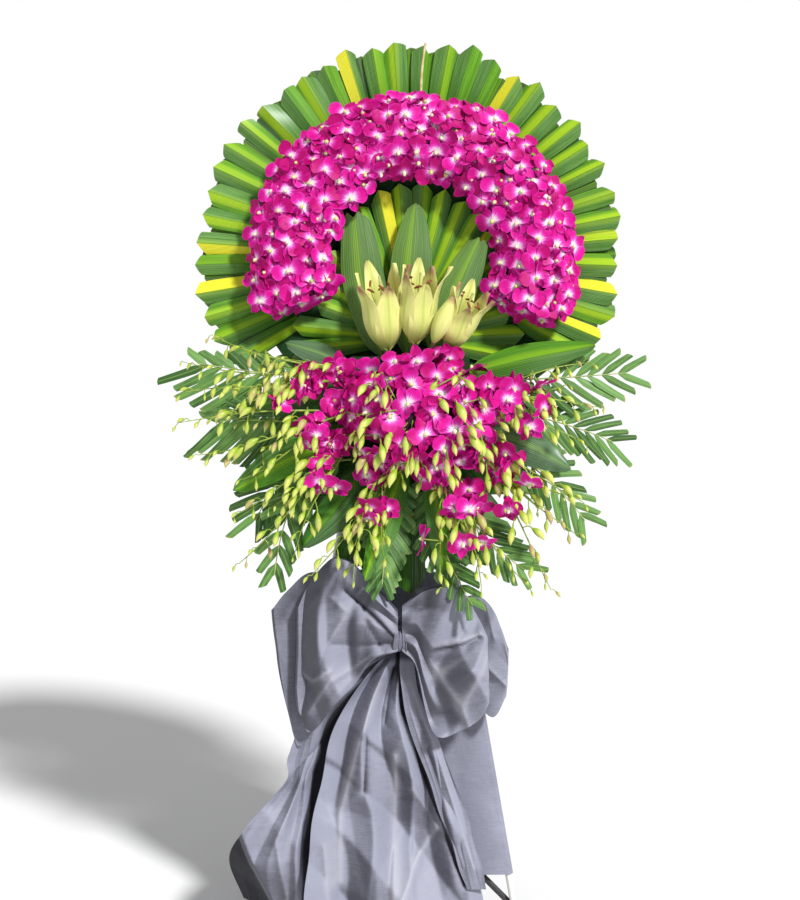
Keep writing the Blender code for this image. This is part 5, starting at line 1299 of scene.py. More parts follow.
class WREATH_OT_lilies(bpy.types.Operator):
    """Stand the three half-open lilies and the closed one in the middle of the wreath"""

    bl_idname = "wreath.lilies"
    bl_label = "Lilies"

    def execute(self, context):
        chance = np.random.default_rng(SEEDS["lilies"])
        tepal = lily_tepal("Lily tepal", context.scene.wreath_colours.lily)
        anther, thread, stem = plant_part("Lily anther"), plant_part("Lily filament"), plant_part("Lily stem")
        for name, across, forward, neck, aim, length, spread in LILIES:
            shapes = Shapes()
            root, neck, aim = np.array([across, BLOCK_TOP - HOLE_DEPTH, forward]), np.array(neck), unit(aim)
            self.stalk(shapes, root, neck, aim)
            self.tepals(shapes, neck, aim, length, spread, chance)
            self.stamens(shapes, neck, aim, length, chance)
            shapes.build(name + "_flower", [tepal, anther, thread, stem], [name])
        self.bud(tepal, stem)
        return {"FINISHED"}

    def stalk(self, shapes, root, neck, aim):
        """Carry the stem from the foam to the flower's foot, where it swells."""
        path = smooth_rows((root, root + UP_SLOPE * 0.014, neck, neck + aim * 0.024), 14)
        shapes.tubes(path[None], np.interp(evenly(14), (0.0, 0.5, 0.8, 1.0),
                                           (0.0028, 0.0028, 0.005, 0.0098)), 10, slot=STEM)

    def tepals(self, shapes, neck, aim, length, spread, chance, rows=24, columns=9):
        """Open six tepals round the aim. Their distance from the axis follows the belly's outline and then
        opens, more on the viewer's side; half width is sin(π·v^0.9)^0.62, and the edges curl out with v³."""
        number = np.arange(6)
        outer = (number % 2 == 0).astype(float)
        angle = math.tau * (number + 0.25) / 6 + chance.normal(0.0, 0.08, 6)
        radial = crown(aim, angle)
        across = unit(np.cross(radial, aim))
        near = np.clip(radial @ FORWARD, 0.0, 1.0)[:, None]
        v = evenly(rows)
        belly = smooth_rows(np.array(LILY_BELLY), rows)
        belly = np.interp(v, belly[:, 0], belly[:, 1])
        size = (length * (0.96 + 0.04 * outer) * chance.uniform(0.94, 1.02, 6))[:, None] * (1.0 - 0.2 * near)
        opening = (0.02 + 0.07 * outer + chance.normal(0.0, 0.03, 6))[:, None] + 0.07 * near
        reach = spread * belly + size * opening * ease(v, 0.45, 1.05) ** 1.6
        reach = reach + 0.0022 * outer[:, None] * ease(v, 0, 0.2)
        lean = chance.normal(0.0, 0.05, 6)[:, None]
        rib = neck + aim * (0.012 + (size - 0.012) * v)[..., None] + radial[:, None] * reach[..., None] \
            + across[:, None] * (lean * size * v ** 2)[..., None]
        width = spread * (0.58 + 0.1 * (1 - outer))[:, None]
        width = width * np.sin(math.pi * (0.05 + 0.945 * v) ** 0.9) ** 0.62 + 0.0006
        u = np.linspace(-1.0, 1.0, columns)
        curl = (-0.0075 + 0.015 * v ** 3)[None, :, None] * u ** 2
        ridge = 0.0018 * np.exp(-(u / 0.16) ** 2) * (1 - v[:, None] ** 3)
        ripple = np.sin(v[None, :, None] * 14.0 + angle[:, None, None] * 3.0)
        wave = 0.0014 * ripple * u ** 2 * v[None, :, None]
        grid = rib[:, :, None] + across[:, None, None] * (width[..., None] * u)[..., None] \
            + radial[:, None, None] * (curl + ridge + wave)[..., None]
        mark = (chance.uniform(0, 1, 6) > 0.45).astype(float)
        shapes.sheets(grid, TEPAL, chance.uniform(0, 1, 6), mark)

    def stamens(self, shapes, neck, aim, length, chance):
        """Stand six filaments with an anther across each tip, and a pistil in the middle."""
        angle = math.tau * (np.arange(6) + 0.5) / 6 + chance.normal(0.0, 0.15, 6)
        radial = crown(aim, angle)
        v = evenly(8)[None, :, None]
        size = (length * chance.uniform(0.6, 0.74, 6))[:, None, None]
        path = neck + aim * (0.012 + size * v) + radial[:, None] * (0.004 + 0.015 * v ** 2)
        path = path + FORWARD * 0.012 * v ** 2
        shapes.tubes(path, np.linspace(0.0011, 0.0008, 8), 5, slot=THREAD)
        across = unit(np.cross(radial, aim) + chance.normal(0.0, 0.5, (6, 3)))
        step = np.linspace(-1.0, 1.0, 7)[None, :, None]
        anthers = path[:, -1:] + across[:, None] * 0.009 * step - aim * 0.002 * step ** 2
        shapes.tubes(anthers, 0.0024 * np.sqrt(1.02 - step[0, :, 0] ** 2), 6, slot=ANTHER)
        sway = np.cross(unit(np.cross(aim, FORWARD)), aim) * 0.004 * np.sin(v[0] * 3.0)
        pistil = neck + aim * (0.012 + length * 0.8 * v[0]) + sway
        radii = (0.0013, 0.0012, 0.0011, 0.0011, 0.0012, 0.0013, 0.002, 0.0026)
        shapes.tubes(pistil[None], radii, 6, slot=THREAD)

    def bud(self, tepal, stem):
        """Stand the closed lily: six rounded ribs round a spindle that ends in a point."""
        shapes = Shapes()
        root, neck, aim = np.array(BUD_ROOT), np.array(BUD_NECK), unit(BUD_AIM)
        path = smooth_rows((root, root + UP_SLOPE * 0.02, neck), 10)
        shapes.tubes(path[None], np.linspace(0.0028, 0.004, 10), 8, slot=1)
        v = evenly(22)
        turn = np.arange(48) * math.tau / 48
        radius = 0.0035 + 0.0115 * np.sin(math.pi * v ** 0.85) ** 0.9
        ribs = 1.0 + 0.1 * np.abs(np.cos(turn * 3.0)) * np.sin(math.pi * v)[:, None]
        spokes = (radius[:, None] * ribs)[..., None] * crown(aim, turn)
        body = neck + aim * (-0.004 + 0.092 * v)[:, None, None] + spokes
        shapes.rings(body[None], 0.3, 1.0)
        shapes.build("lily_bud_flower", [tepal, stem], ["lily_bud"], sharp=70.0)


# Way to the light in the wreath's plane, with its strength on a fabric's tone of painted light and shade

TO_LIGHT = np.array([0.75, 0.55, 0.0])

# Shares of the fabric's colour in the bow's painted light and painted shade

BOW_SHARES = (1.02, 0.26)

# Height of a drawn crease at which its painted highlight, on a ridge, and its painted shade, in a furrow, are
# full

FULL_CREASE = 0.009

# Creases that the photograph shows: height, width, and corners across and up the slope; through the mark,
# ridges get a painted highlight and furrows painted shade

DRAWN_CREASES = {
    "bow_loop_front_left": (
        (0.006, 0.012, (-0.122, -0.678), (-0.164, -0.747)),
        (0.006, 0.01, (-0.202, -0.782), (-0.181, -0.797), (-0.145, -0.777)),
        (-0.005, 0.006, (-0.079, -0.685), (-0.048, -0.742)),
        (-0.01, 0.006, (-0.119, -0.628), (-0.065, -0.676), (-0.027, -0.714)),
        (-0.005, 0.008, (-0.145, -0.728), (-0.088, -0.73), (-0.04, -0.728)),
        (0.005, 0.012, (-0.143, -0.642), (-0.117, -0.666)),
        (0.006, 0.012, (-0.19, -0.86), (-0.15, -0.8), (-0.07, -0.745)),
    ),
    "bow_loop_front_right": (
        (0.01, 0.012, (0.045, -0.73), (0.09, -0.722), (0.132, -0.706)),
        (-0.009, 0.008, (0.05, -0.738), (0.105, -0.728), (0.128, -0.716)),
        (0.007, 0.014, (0.094, -0.842), (0.12, -0.795), (0.144, -0.747)),
        (0.006, 0.012, (0.04, -0.76), (0.095, -0.84), (0.11, -0.88)),
        (0.005, 0.016, (0.04, -0.79), (0.085, -0.76), (0.12, -0.735)),
    ),
    "bow_loop_back_left": (
        (0.005, 0.01, (-0.225, -0.64), (-0.19, -0.672)),
        (0.004, 0.014, (-0.24, -0.7), (-0.23, -0.85)),
        (-0.015, 0.01, (-0.17, -0.634), (-0.208, -0.724), (-0.217, -0.795), (-0.2, -0.886)),
    ),
    "bow_loop_back_right": (
        (0.006, 0.01, (0.145, -0.66), (0.16, -0.72)),
        (0.005, 0.012, (0.148, -0.775), (0.19, -0.815)),
    ),
    "bow_tail_centre": (
        (0.009, 0.016, (-0.055, -0.808), (-0.093, -0.908), (-0.131, -1.05), (-0.131, -1.18)),
        (0.009, 0.014, (-0.027, -0.937), (-0.027, -1.05), (-0.031, -1.25)),
        (0.009, 0.012, (0.049, -1.079), (0.016, -1.136), (-0.019, -1.222)),
        (0.007, 0.012, (0.007, -1.003), (0.049, -1.074)),
        (-0.01, 0.006, (-0.081, -0.903), (-0.084, -1.008)),
        (-0.008, 0.006, (-0.03, -0.78), (-0.045, -0.88)),
        (-0.012, 0.008, (-0.021, -0.745), (-0.012, -0.86), (0.043, -1.022), (0.105, -1.182)),
        (0.006, 0.012, (-0.16, -1.11), (-0.15, -1.22)),
    ),
    "bow_tail_left": (
        (-0.006, 0.006, (-0.15, -0.9), (-0.216, -0.975), (-0.262, -1.04)),
        (0.006, 0.012, (-0.2, -0.99), (-0.25, -1.1), (-0.23, -1.23)),
    ),
    "bow_tail_right": (
        (0.006, 0.014, (0.0, -0.8), (0.06, -0.96), (0.12, -1.15)),
    ),
}

# Loops: side, forward of the far and the near layer, tone of painted light and shade before the fabric's
# turn to the light adds to it, how far the far end slants in towards its lower edge, and an outline of (out,
# upper edge, lower edge)

LOOPS = {
    "bow_loop_front_left": (-1, 0.042, 0.086, 0.4, 0.0, (
        (0.0, 0.056, -0.018), (0.045, 0.108, -0.034), (0.08, 0.141, -0.082), (0.118, 0.147, -0.13),
        (0.158, 0.104, -0.172), (0.181, 0.052, -0.13))),
    "bow_loop_back_left": (-1, 0.018, 0.033, 0.36, 0.034, (
        (0.0, 0.014, -0.014), (0.08, 0.07, -0.075), (0.15, 0.125, -0.15), (0.2, 0.09, -0.203),
        (0.23, 0.052, -0.15))),
    "bow_loop_front_right": (1, 0.042, 0.086, 0.4, 0.0, (
        (0.0, 0.064, -0.018), (0.024, 0.084, -0.044), (0.04, 0.096, -0.12), (0.062, 0.099, -0.178),
        (0.105, 0.088, -0.164), (0.136, 0.052, -0.144), (0.148, 0.004, -0.118))),
    "bow_loop_back_right": (1, 0.018, 0.033, 0.46, 0.006, (
        (0.0, 0.014, -0.014), (0.07, 0.05, -0.06), (0.125, 0.078, -0.11), (0.165, 0.05, -0.15),
        (0.192, -0.02, -0.11))),
}

# Where a loop's ribbon starts, how far it goes past its outline, and how far its near layer turns back

LOOP_START = 0.004
LOOP_OVER = 0.009
TURNED_LEFT, TURNED_RIGHT = 0.034, 0.004

# Heights of the swell, the pleats and the facets of the front and of the back loops

FRONT_RELIEF = (0.01, 0.008, 0.024)
BACK_RELIEF = (0.005, 0.004, 0.014)

# Knot: half its width and height, and its back and front over the wreath's plane

KNOT_HALF = (0.013, 0.026)
KNOT_BACK, KNOT_FRONT = -0.0234, 0.088

# Tails: level, tone of painted light and shade before the fabric's turn to the light adds to it, columns,
# pleats, the pleats' depth, the facets' height, the share of width that returns underneath, and rows of
# (height on the slope, left edge, right edge)

TAILS = {
    "bow_tail_centre": (-0.0035, 0.66, 100, 3.2, 0.013, 0.028, 0.0, (
        (-0.74, -0.034, 0.002), (-0.861, -0.128, 0.03), (-1.0, -0.168, 0.082), (-1.13, -0.189, 0.118),
        (-1.255, -0.197, 0.148))),
    "bow_tail_left": (-0.015, 0.62, 76, 1.6, 0.006, 0.024, 0.35, (
        (-0.74, -0.036, -0.02), (-0.86, -0.186, -0.15), (-0.945, -0.226, -0.182), (-0.997, -0.236, -0.196),
        (-1.083, -0.311, -0.206), (-1.151, -0.345, -0.214), (-1.245, -0.325, -0.217))),
    "bow_tail_right": (0.0085, 0.62, 40, 0.5, 0.005, 0.008, 0.0, (
        (-0.74, -0.016, 0.002), (-0.842, -0.011, 0.026), (-1.0, 0.041, 0.091), (-1.1, 0.078, 0.122),
        (-1.19, 0.108, 0.146))),
}

# Tails' lift at the knot and their belly below it; the left tail's return, its depth, and the slanting crease
# that it turns back beyond: a point on it, its slope, and how far back each step goes

KNOT_LIFT, BELLY = 0.03, 0.036
TAIL_RETURN, RETURN_DEPTH = 0.06, 0.009
CREASE_POINT, CREASE_SLOPE = (-0.317, -1.09), -2.3
CREASE_FALL = 1.6


def creases(across, along, chance, count, deep, long, narrow, angle=None):
    """Crease a sheet: each crease is height·exp(−|d|/narrow)·exp(−(t/long)²), where d is the distance from
    the crease's line and t the distance along it, in shares of the sheet. It lies near angle, or any way."""
    middle = chance.uniform(0.0, 1.0, (2, count, 1, 1))
    turn = chance.uniform(0.0, math.pi, count) if angle is None else angle + chance.normal(0.0, 0.5, count)
    cosine, sine = np.cos(turn)[:, None, None], np.sin(turn)[:, None, None]
    height = chance.normal(0.0, deep, count)[:, None, None]
    reach = long * chance.uniform(0.4, 1.3, count)[:, None, None]
    x, y = across[None] - middle[0], along[None] - middle[1]
    distance = np.sqrt((x * sine - y * cosine) ** 2 + 2e-5)
    travel = x * cosine + y * sine
    return (height * np.exp(-distance / narrow) * np.exp(-(travel / reach) ** 2)).sum(axis=0)


def zigzag(phase):
    """Return a triangle wave from −1 to 1, one to a unit of phase, with slightly rounded corners."""
    return np.arcsin(0.996 * np.sin(math.tau * phase)) / math.asin(0.996)


def facets(x, y, chance, count, wave, height):
    """Crumple a sheet into flat facets: a sum of count zigzags, each along its own direction, about wave
    long and height high, bent a little so that no crease is quite straight."""
    total = 0.0
    for turn in chance.uniform(0.0, math.pi, count):
        long = wave * chance.uniform(0.6, 1.6)
        over = x * math.cos(turn) + y * math.sin(turn)
        aside = y * math.cos(turn) - x * math.sin(turn)
        bend = 0.22 * np.sin(aside / long * chance.uniform(1.2, 2.6) + chance.uniform(0.0, 6.0))
        facet = zigzag(over / long + bend + chance.uniform(0.0, 1.0))
        total = total + facet * height * chance.uniform(0.5, 1.2)
    return total / math.sqrt(count)


def painted_light_tones(grid, base):
    """Return tones round a base that paint light and shade: higher where the sheet turns right and up, to
    the light, lower where it turns left and down, from its normal's lean that way."""
    normal = unit(np.cross(np.gradient(grid, axis=1), np.gradient(grid, axis=0)))
    lean = normal @ TO_LIGHT * np.sign(normal[..., 2])
    return np.clip(base + lean, 0.0, 1.0)


def drawn_creases(x, y, lines):
    """Raise ridges, or sink furrows, along lines: each is height·exp(−distance/width) of its line, given as
    height, width and its corners across and up the slope."""
    total = 0.0 * (x + y)
    for height, width, *corners in lines:
        nearest = np.full(np.shape(total), np.inf)
        for (x0, y0), (x1, y1) in zip(corners, corners[1:]):
            run = (x1 - x0) ** 2 + (y1 - y0) ** 2
            share = np.clip(((x - x0) * (x1 - x0) + (y - y0) * (y1 - y0)) / run, 0.0, 1.0)
            nearest = np.minimum(nearest, np.hypot(x - x0 - share * (x1 - x0), y - y0 - share * (y1 - y0)))
        total = total + height * np.exp(-nearest / width)
    return total


class WREATH_OT_bow(bpy.types.Operator):
    """Tie the bow: its four loops, its knot and its three tails"""

    bl_idname = "wreath.bow"
    bl_label = "Bow"

    def execute(self, context):
        sizes, colours = context.scene.wreath_sizes, context.scene.wreath_colours
        chance = np.random.default_rng(SEEDS["bow"])
        fabric = stiff_fabric("Bow fabric", colours.fabric, BOW_SHARES)
        for name, (side, far, near, tone, slant, outline) in LOOPS.items():
            grid, mark = self.loop(name, side, far, near, slant, outline, chance)
            self.sheet(name, grid, tone, mark, sizes.fabric, fabric, "gathered", ["bow_knot_band"])
        self.knot(sizes, fabric, chance)
        for name, (level, tone, *form, edges) in TAILS.items():
            grid, mark = self.tail(name, level, form, edges, chance)
            self.sheet(name, grid, tone, mark, sizes.fabric, fabric, "hung", ["bow_knot_band", "skirt"])
        return {"FINISHED"}

    def sheet(self, name, grid, tone, mark, thickness, material, held, rests_on):
        """Thicken one sheet of fabric."""
        shapes = Shapes()
        shapes.sheets(grid[None], thickness, painted_light_tones(grid, tone)[None], mark[None])
        piece = shapes.build(name + "_fabric", [material], [name], sharp=75.0)

    def loop(self, name, side, far, near, slant, outline, chance, rows=132, columns=72):
        """Carry the ribbon round a loop: at angle t from 0 to π its distance out is sin(t)^0.8 of the
        loop's length and its depth is −cos(t) of half the opening, flattened; pleats fan from the knot."""
        swelled, pleated, crumpled = FRONT_RELIEF if "front" in name else BACK_RELIEF
        t = np.linspace(0.0, math.pi, rows)[:, None]
        q = evenly(columns)[None]
        share = np.sin(t) ** 0.8
        table = smooth_rows(outline, 60)
        distance = share * outline[-1][0]
        upper = np.interp(distance, table[:, 0], table[:, 1])
        lower = np.interp(distance, table[:, 0], table[:, 2])
        height = upper + (lower - upper) * q
        half = (near - far) / 2 * (0.62 + 0.38 * ease(share, 0.0, 0.35)) * (1.0 - 0.42 * share ** 5)
        depth = (near + far) / 2 - np.sign(np.cos(t)) * np.abs(np.cos(t)) ** 0.35 * half
        near_layer = ease(-np.cos(t), -0.25, 0.25)
        swell = swelled * np.sin(math.pi * q) ** 0.8 * np.sin(math.pi * share * 0.8)
        bend = 0.12 * np.sin(q * 7.0 + side) + 0.1 * np.sin(share * 4.0 + side)
        pleats = zigzag(q * 2.6 + bend + side * 0.2) * pleated
        pleats = pleats * np.exp(-share * 2.6) * ease(share, 0.0, 0.1)
        across = KNOT[0] + side * (LOOP_START + distance * (1.0 + LOOP_OVER / outline[-1][0]))
        crumple = facets(across, height, chance, 5, 0.14, crumpled)
        crumple = crumple + creases(q + 0 * t, t / math.pi + 0 * q, chance, 10, 0.002, 0.22, 0.05)
        strength = ease(share, 0.05, 0.45)
        lines = drawn_creases(across, KNOT[1] + height, DRAWN_CREASES[name]) * near_layer
        turned = (TURNED_LEFT if side < 0 else TURNED_RIGHT) * share ** 1.5 * near_layer
        relief = (swell * near_layer + pleats + crumple * strength) * (0.2 + 0.8 * near_layer)
        depth = depth - turned + relief + lines * ease(share, 0.0, 0.2)
        edge = crumple * 0.35 * strength * np.abs(2 * q - 1)
        across = across - side * slant * q ** 2 * share ** 3 + crumple * 0.25 * share ** 4
        # The mark returned with the grid paints a highlight along drawn ridges and shade along drawn furrows
        return np.stack((across, KNOT[1] + height + edge, depth), axis=-1), lines / FULL_CREASE

    def knot(self, sizes, fabric, chance, rows=90, columns=26):
        """Wind a band round the loops' middle: in side view the rounded square |y|⁴ + |z|⁴ = 1, pinched by
        0.16·(1 − q²) and pleated along."""
        turn = np.linspace(0.0, math.tau, rows)[:, None]
        q = np.linspace(-1.0, 1.0, columns)[None]
        middle, half = (KNOT_BACK + KNOT_FRONT) / 2, (KNOT_FRONT - KNOT_BACK) / 2 - 0.003
        cosine, sine = np.cos(turn), np.sin(turn)
        size = (np.abs(cosine) ** 4 + np.abs(sine) ** 4) ** -0.25
        pinch = 1.0 - 0.16 * (1 - q ** 2) + 0.05 * np.sin(q * 11.0 + turn)
        wrinkles = creases(turn / math.tau + 0 * q, (q + 1) / 2 + 0 * turn, chance, 30, 0.05, 0.3, 0.05)
        pinch = pinch * (0.93 + wrinkles)
        slope = KNOT[1] + cosine * size * KNOT_HALF[1] * pinch
        forward = middle + sine * size * half * (0.5 + 0.5 * pinch)
        across = KNOT[0] + q * KNOT_HALF[0] * (0.86 + 0.1 * np.cos(turn * 3.0)) + 0 * turn
        grid = np.stack((across, slope, forward), axis=-1)
        shapes = Shapes()
        shapes.sheets(grid[None], sizes.fabric)
        piece = shapes.build("bow_knot_band", [fabric], ["bow_knot"], sharp=75.0)

    def tail(self, name, level, form, edges, chance, rows=130):
        """Hang a tail from the knot. Pleats run down it from the knot and flatten as they fall, flat facets
        cross it, and the whole tail bellies forward. The left one turns back beyond a slanting crease, and
        its right edge returns far under the middle one."""
        columns, pleats, deep, crumpled, back = form
        table = smooth_rows(edges, rows)
        v = evenly(rows)[:, None]
        q = np.linspace(0.0, 1.0 + back, columns)[None]
        own = np.minimum(q, 1.0)
        past = np.maximum(q - 1.0, 0.0) / max(back, 0.01)
        slope, left, right = table[:, :1], table[:, 1:2], table[:, 2:3]
        across = left + (right - left) * own + TAIL_RETURN * past * ease(v, 0.0, 0.15)
        bend = 0.16 * np.sin(v * 4.0 + own * 5.0) + 0.08 * np.sin(v * 11.0 + own * 9.0)
        roomy = np.minimum(1.0, (right - left) / 0.1)
        folds = zigzag(own * pleats + bend + 0.2) * deep * roomy
        folds = folds * ease(v, 0.0, 0.12) * (1.0 - 0.45 * ease(v, 0.35, 1.0))
        lines = drawn_creases(across, slope, DRAWN_CREASES[name])
        crumple = facets(across, slope, chance, 4, 0.22, crumpled)
        crumple = crumple + creases(own + 0 * v, v + 0 * own, chance, 10, 0.0018, 0.25, 0.05, math.pi / 2)
        crumple = crumple * roomy + lines
        belly = BELLY * ease(v, 0.04, 0.62) + KNOT_LIFT * (1.0 - ease(v, 0.1, 0.6)) * ease(v, 0.0, 0.06)
        forward = level + belly + folds + crumple * ease(v, 0.05, 0.35)
        # The mark paints a highlight along drawn ridges and shade along drawn furrows
        mark = lines / FULL_CREASE
        if back:
            crease = (slope - CREASE_POINT[1]) - (across - CREASE_POINT[0]) * CREASE_SLOPE
            behind = np.maximum(-crease, 0.0) / math.hypot(1.0, CREASE_SLOPE)
            forward = forward - CREASE_FALL * behind
            forward = forward + (level - RETURN_DEPTH - forward) * ease(past, 0.0, 0.35)
            # Painted shade: the part returned under the middle tail and the part beyond the slanting crease
            # are darkened through the mark
            mark = mark - ease(past, 0.05, 0.25) - 0.85 * ease(behind, 0.001, 0.01)
        edge = 0.0018 * np.sin(v * 23.0) * np.where(own < 0.5, -1.0, 1.0) * np.abs(2 * own - 1) ** 3
        return np.stack((across + edge, slope + 0 * q, forward), axis=-1), mark + 0 * forward


# Stand, which the skirt hangs on: the legs' meeting point, how far below it the back leg meets the others,
# their spread to each step down the slope, and their lie behind the wreath's plane

STAND_MIDDLE = -0.0275
APEX_SLOPE = 0.081
BACK_DROP = 0.02
LEG_SPREAD = 0.173
LEG_FORWARD = -0.0363
ROD_RADIUS = 0.006
BACK_FOOT_DEPTH = 0.42

# Skirt: heights of its hem and top, its distance from a rod's middle line, its folds on each side, the arcs
# round the legs in degrees, and its shares of the fabric's colour

SKIRT_HEM, SKIRT_TOP = 0.128, 0.673
SKIRT_RADIUS = ROD_RADIUS + 0.0032
SKIRT_FOLDS = (3.0, 2.0, 2.0)
SKIRT_CORNERS = ((160.0, 270.0), (270.0, 380.0), (20.0, 160.0))
# The skirt's lit and shade shares of the colour, painted light and painted shade, lighter than the bow's
SKIRT_SHARES = (1.24, 0.55)


def leg_points(heights):
    """Return the three legs' middle lines at heights, left, right and back, before the frame's shift."""
    slope = (heights - RING_HEIGHT - LEG_FORWARD * math.sin(LEAN)) / math.cos(LEAN)
    depth = slope * math.sin(LEAN) - LEG_FORWARD * math.cos(LEAN)
    spread = LEG_SPREAD * (APEX_SLOPE - slope)
    top_slope, top_forward = APEX_SLOPE - BACK_DROP, LEG_FORWARD - ROD_RADIUS
    top_depth = top_slope * math.sin(LEAN) - top_forward * math.cos(LEAN)
    top_height = RING_HEIGHT + top_slope * math.cos(LEAN) + top_forward * math.sin(LEAN)
    back_depth = top_depth + (BACK_FOOT_DEPTH - top_depth) * (top_height - heights) / top_height
    back = np.stack((np.full_like(heights, STAND_MIDDLE), back_depth), -1)
    left, right = (np.stack((STAND_MIDDLE + side * spread, depth), -1) for side in (-1, 1))
    return left, right, back


class WREATH_OT_skirt(bpy.types.Operator):
    """Hang the fabric skirt round the stand's legs"""

    bl_idname = "wreath.skirt"
    bl_label = "Skirt"

    def execute(self, context):
        sizes, colours = context.scene.wreath_sizes, context.scene.wreath_colours
        fabric = stiff_fabric("Skirt fabric", colours.fabric, SKIRT_SHARES)
        grid = self.wrap()
        shapes = Shapes()
        shapes.sheets(grid[None], sizes.fabric)
        piece = shapes.build("skirt_fabric", [fabric], ["skirt"], in_plane=False, sharp=75.0)
        return {"FINISHED"}

    def wrap(self, rows=110, side_columns=46, corner_columns=12):
        """Wrap the sheet round the legs: an arc round each leg at every height, straight runs between them,
        and folds that push out of the runs as a triangle wave, deeper towards the hem."""
        chance = np.random.default_rng(SEEDS["skirt"])
        heights = np.linspace(SKIRT_HEM, SKIRT_TOP, rows)
        legs = leg_points(heights)
        arcs = []
        for leg, sweep in zip(legs, SKIRT_CORNERS):
            turn = np.radians(np.linspace(*sweep, corner_columns))
            arcs.append(leg[:, None] + SKIRT_RADIUS * np.stack((np.cos(turn), np.sin(turn)), -1))
        drop = ((SKIRT_TOP - heights) / (SKIRT_TOP - SKIRT_HEM))[:, None]
        v = evenly(rows)[:, None]
        columns = []
        for number, folds in enumerate(SKIRT_FOLDS):
            start, end = arcs[number][:, -1], arcs[(number + 1) % 3][:, 0]
            share = evenly(side_columns + 2)[None, 1:-1]
            run = (end - start)[:, None]
            outward = unit(np.stack((run[..., 1], -run[..., 0]), -1))
            held = np.sin(math.pi * share) ** 0.5
            wave = np.abs(((share * folds + 0.1 * v + number * 0.3) % 1.0) - 0.5) * 2.0
            fold = (0.0015 + 0.0105 * drop) * wave * held
            crumple = creases(share + 0 * v, v + 0 * share, chance, 30, 0.0018, 0.35, 0.03, math.pi / 2)
            crumple += creases(share + 0 * v, v + 0 * share, chance, 50, 0.0012, 0.12, 0.02)
            push = np.maximum(fold + crumple * held, -0.0015)
            columns += [arcs[number], start[:, None] + run * share[..., None] + outward * push[..., None]]
        ring = np.concatenate(columns + [columns[0][:, :1]], axis=1)
        height = np.broadcast_to(heights[:, None, None], (*ring.shape[:2], 1))
        return np.concatenate((ring, height), axis=-1) + (SHIFT[0], SHIFT[1], 0.0)


class WREATH_OT_stand(bpy.types.Operator):
    """Finish the stand's rods and the foam pieces"""

    bl_idname = "wreath.stand"
    bl_label = "Stand and foam"

    def execute(self, context):
        colours = context.scene.wreath_colours
        finishes = {("leg_", "crossbar_", "strut"): painted_rod("Pale rod", colours.rod, WORN_PALE_ROD),
                    # The brace gets the rod finish in painted shade
                    ("brace",): painted_rod("Shaded rod", SHADED_ROD, WORN_SHADED_ROD),
                    ("foam_",): floral_foam("Green foam")}
        for name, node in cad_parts.items():
            for starts, material in finishes.items():
                if name.startswith(starts):
                    node.data.materials.clear()
                    node.data.materials.append(material)
        return {"FINISHED"}


def set_place(item, side, up, back, place):
    """Turn a light or the camera to look against back, and stand it at its place."""
    columns = np.column_stack((side, up, back, place))
    item.matrix_world = Matrix(np.vstack((columns, (0, 0, 0, 1))).tolist())


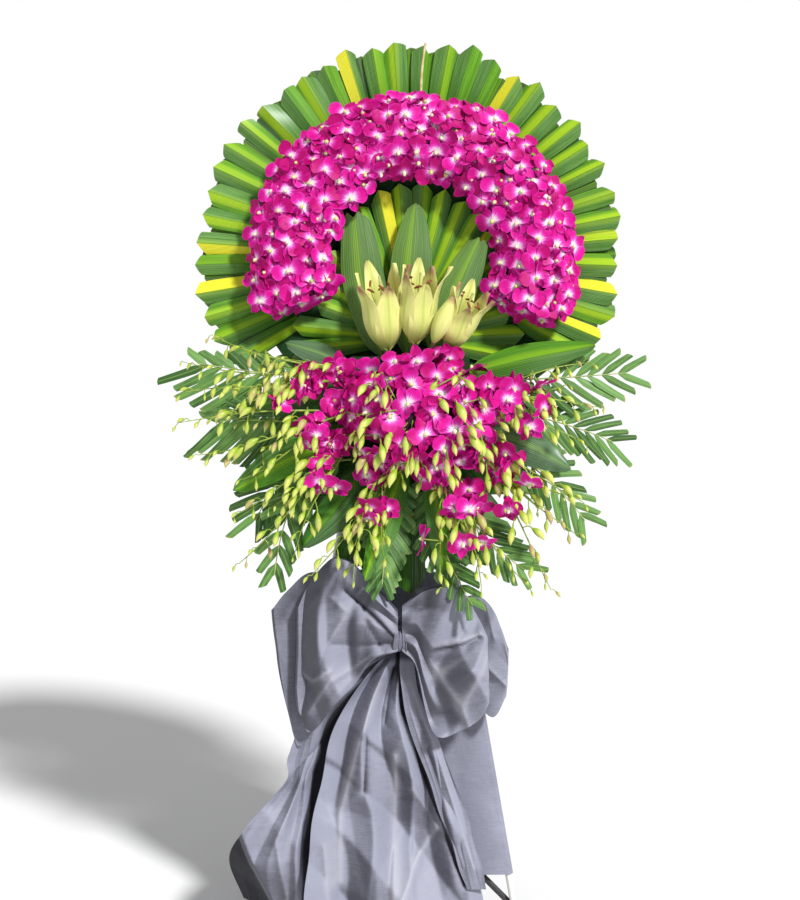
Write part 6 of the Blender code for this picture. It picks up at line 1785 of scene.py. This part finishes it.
class WREATH_OT_stage(bpy.types.Operator):
    """Set the pale floor, the studio lights and the camera"""

    bl_idname = "wreath.stage"
    bl_label = "Stage"

    def execute(self, context):
        self.floor()
        self.world(context)
        self.lights()
        self.camera(context)
        context.scene.view_settings.view_transform = "Standard"
        return {"FINISHED"}

    def floor(self):
        """Lay a wide pale floor at the feet's level."""
        mesh = bpy.data.meshes.new("floor")
        mesh.from_pydata(FLOOR_CORNERS, [], [(0, 1, 2, 3)])
        floor = bpy.data.objects.new("floor", mesh)
        mesh.materials.append(plain_floor("Pale floor"))
        bpy.context.scene.collection.objects.link(floor)

    def world(self, context):
        """Light everything softly from all round, before a white backdrop."""
        world = bpy.data.worlds.new("Studio")
        world.use_nodes = True
        tree = world.node_tree
        tree.nodes["Background"].inputs["Color"].default_value = (1.0, 1.0, 1.0, 1.0)
        strength = tree.nodes.new("ShaderNodeMapRange")
        strength.inputs["To Min"].default_value = AMBIENT
        seen = tree.nodes.new("ShaderNodeLightPath").outputs["Is Camera Ray"]
        tree.links.new(seen, strength.inputs["Value"])
        tree.links.new(strength.outputs["Result"], tree.nodes["Background"].inputs["Strength"])
        context.scene.world = world

    def lights(self):
        """Shine a soft-edged key light from high on the right."""
        data = bpy.data.lights.new("key", "SUN")
        data.energy = KEY_ENERGY
        data.angle = KEY_ANGLE
        light = bpy.data.objects.new("key", data)
        bpy.context.scene.collection.objects.link(light)
        back = unit(KEY_FROM)
        side = unit(np.cross((0.0, 0.0, 1.0), back))
        set_place(light, side, np.cross(back, side), back, KEY_PLACE)

    def camera(self, context):
        """Stand the camera square to the wreath's plane, at the photograph's distance."""
        data = bpy.data.cameras.new("camera")
        data.sensor_width = SENSOR
        data.lens = SENSOR * EYE[2] / VIEW_HEIGHT
        data.clip_end = FAR_CLIP
        camera = bpy.data.objects.new("camera", data)
        context.scene.collection.objects.link(camera)
        side, up, back = (to_row(axis) - to_row((0, 0, 0)) for axis in np.eye(3))
        set_place(camera, side, up, back, to_row(EYE))
        context.scene.camera = camera


class WREATH_PT_panel(bpy.types.Panel):
    """Sizes, colours and steps of the wreath"""

    bl_label = "Funeral wreath"
    bl_space_type = "VIEW_3D"
    bl_region_type = "UI"
    bl_category = "Wreath"

    def draw(self, context):
        for settings in (context.scene.wreath_sizes, context.scene.wreath_colours):
            for name in settings.__annotations__:
                self.layout.prop(settings, name)
        for step in STEPS:
            self.layout.operator(step.bl_idname)


STEPS = (WREATH_OT_stand, WREATH_OT_leaf_fans, WREATH_OT_big_leaves, WREATH_OT_fronds, WREATH_OT_orchids,
         WREATH_OT_sprays, WREATH_OT_lilies, WREATH_OT_skirt, WREATH_OT_bow, WREATH_OT_stage)
CLASSES = (WreathSizes, WreathColours, *STEPS, WREATH_PT_panel)


def register():
    """Add the wreath's classes and settings to Blender."""
    for item in CLASSES:
        bpy.utils.register_class(item)
    bpy.types.Scene.wreath_sizes = bpy.props.PointerProperty(type=WreathSizes)
    bpy.types.Scene.wreath_colours = bpy.props.PointerProperty(type=WreathColours)


def unregister():
    """Take the wreath's classes and settings out of Blender."""
    del bpy.types.Scene.wreath_colours
    del bpy.types.Scene.wreath_sizes
    for item in reversed(CLASSES):
        bpy.utils.unregister_class(item)


def main():
    """Build every piece in order."""
    register()
    for step in STEPS:
        group, name = step.bl_idname.split(".")
        getattr(getattr(bpy.ops, group), name)()


if __name__ == "__main__":
    main()
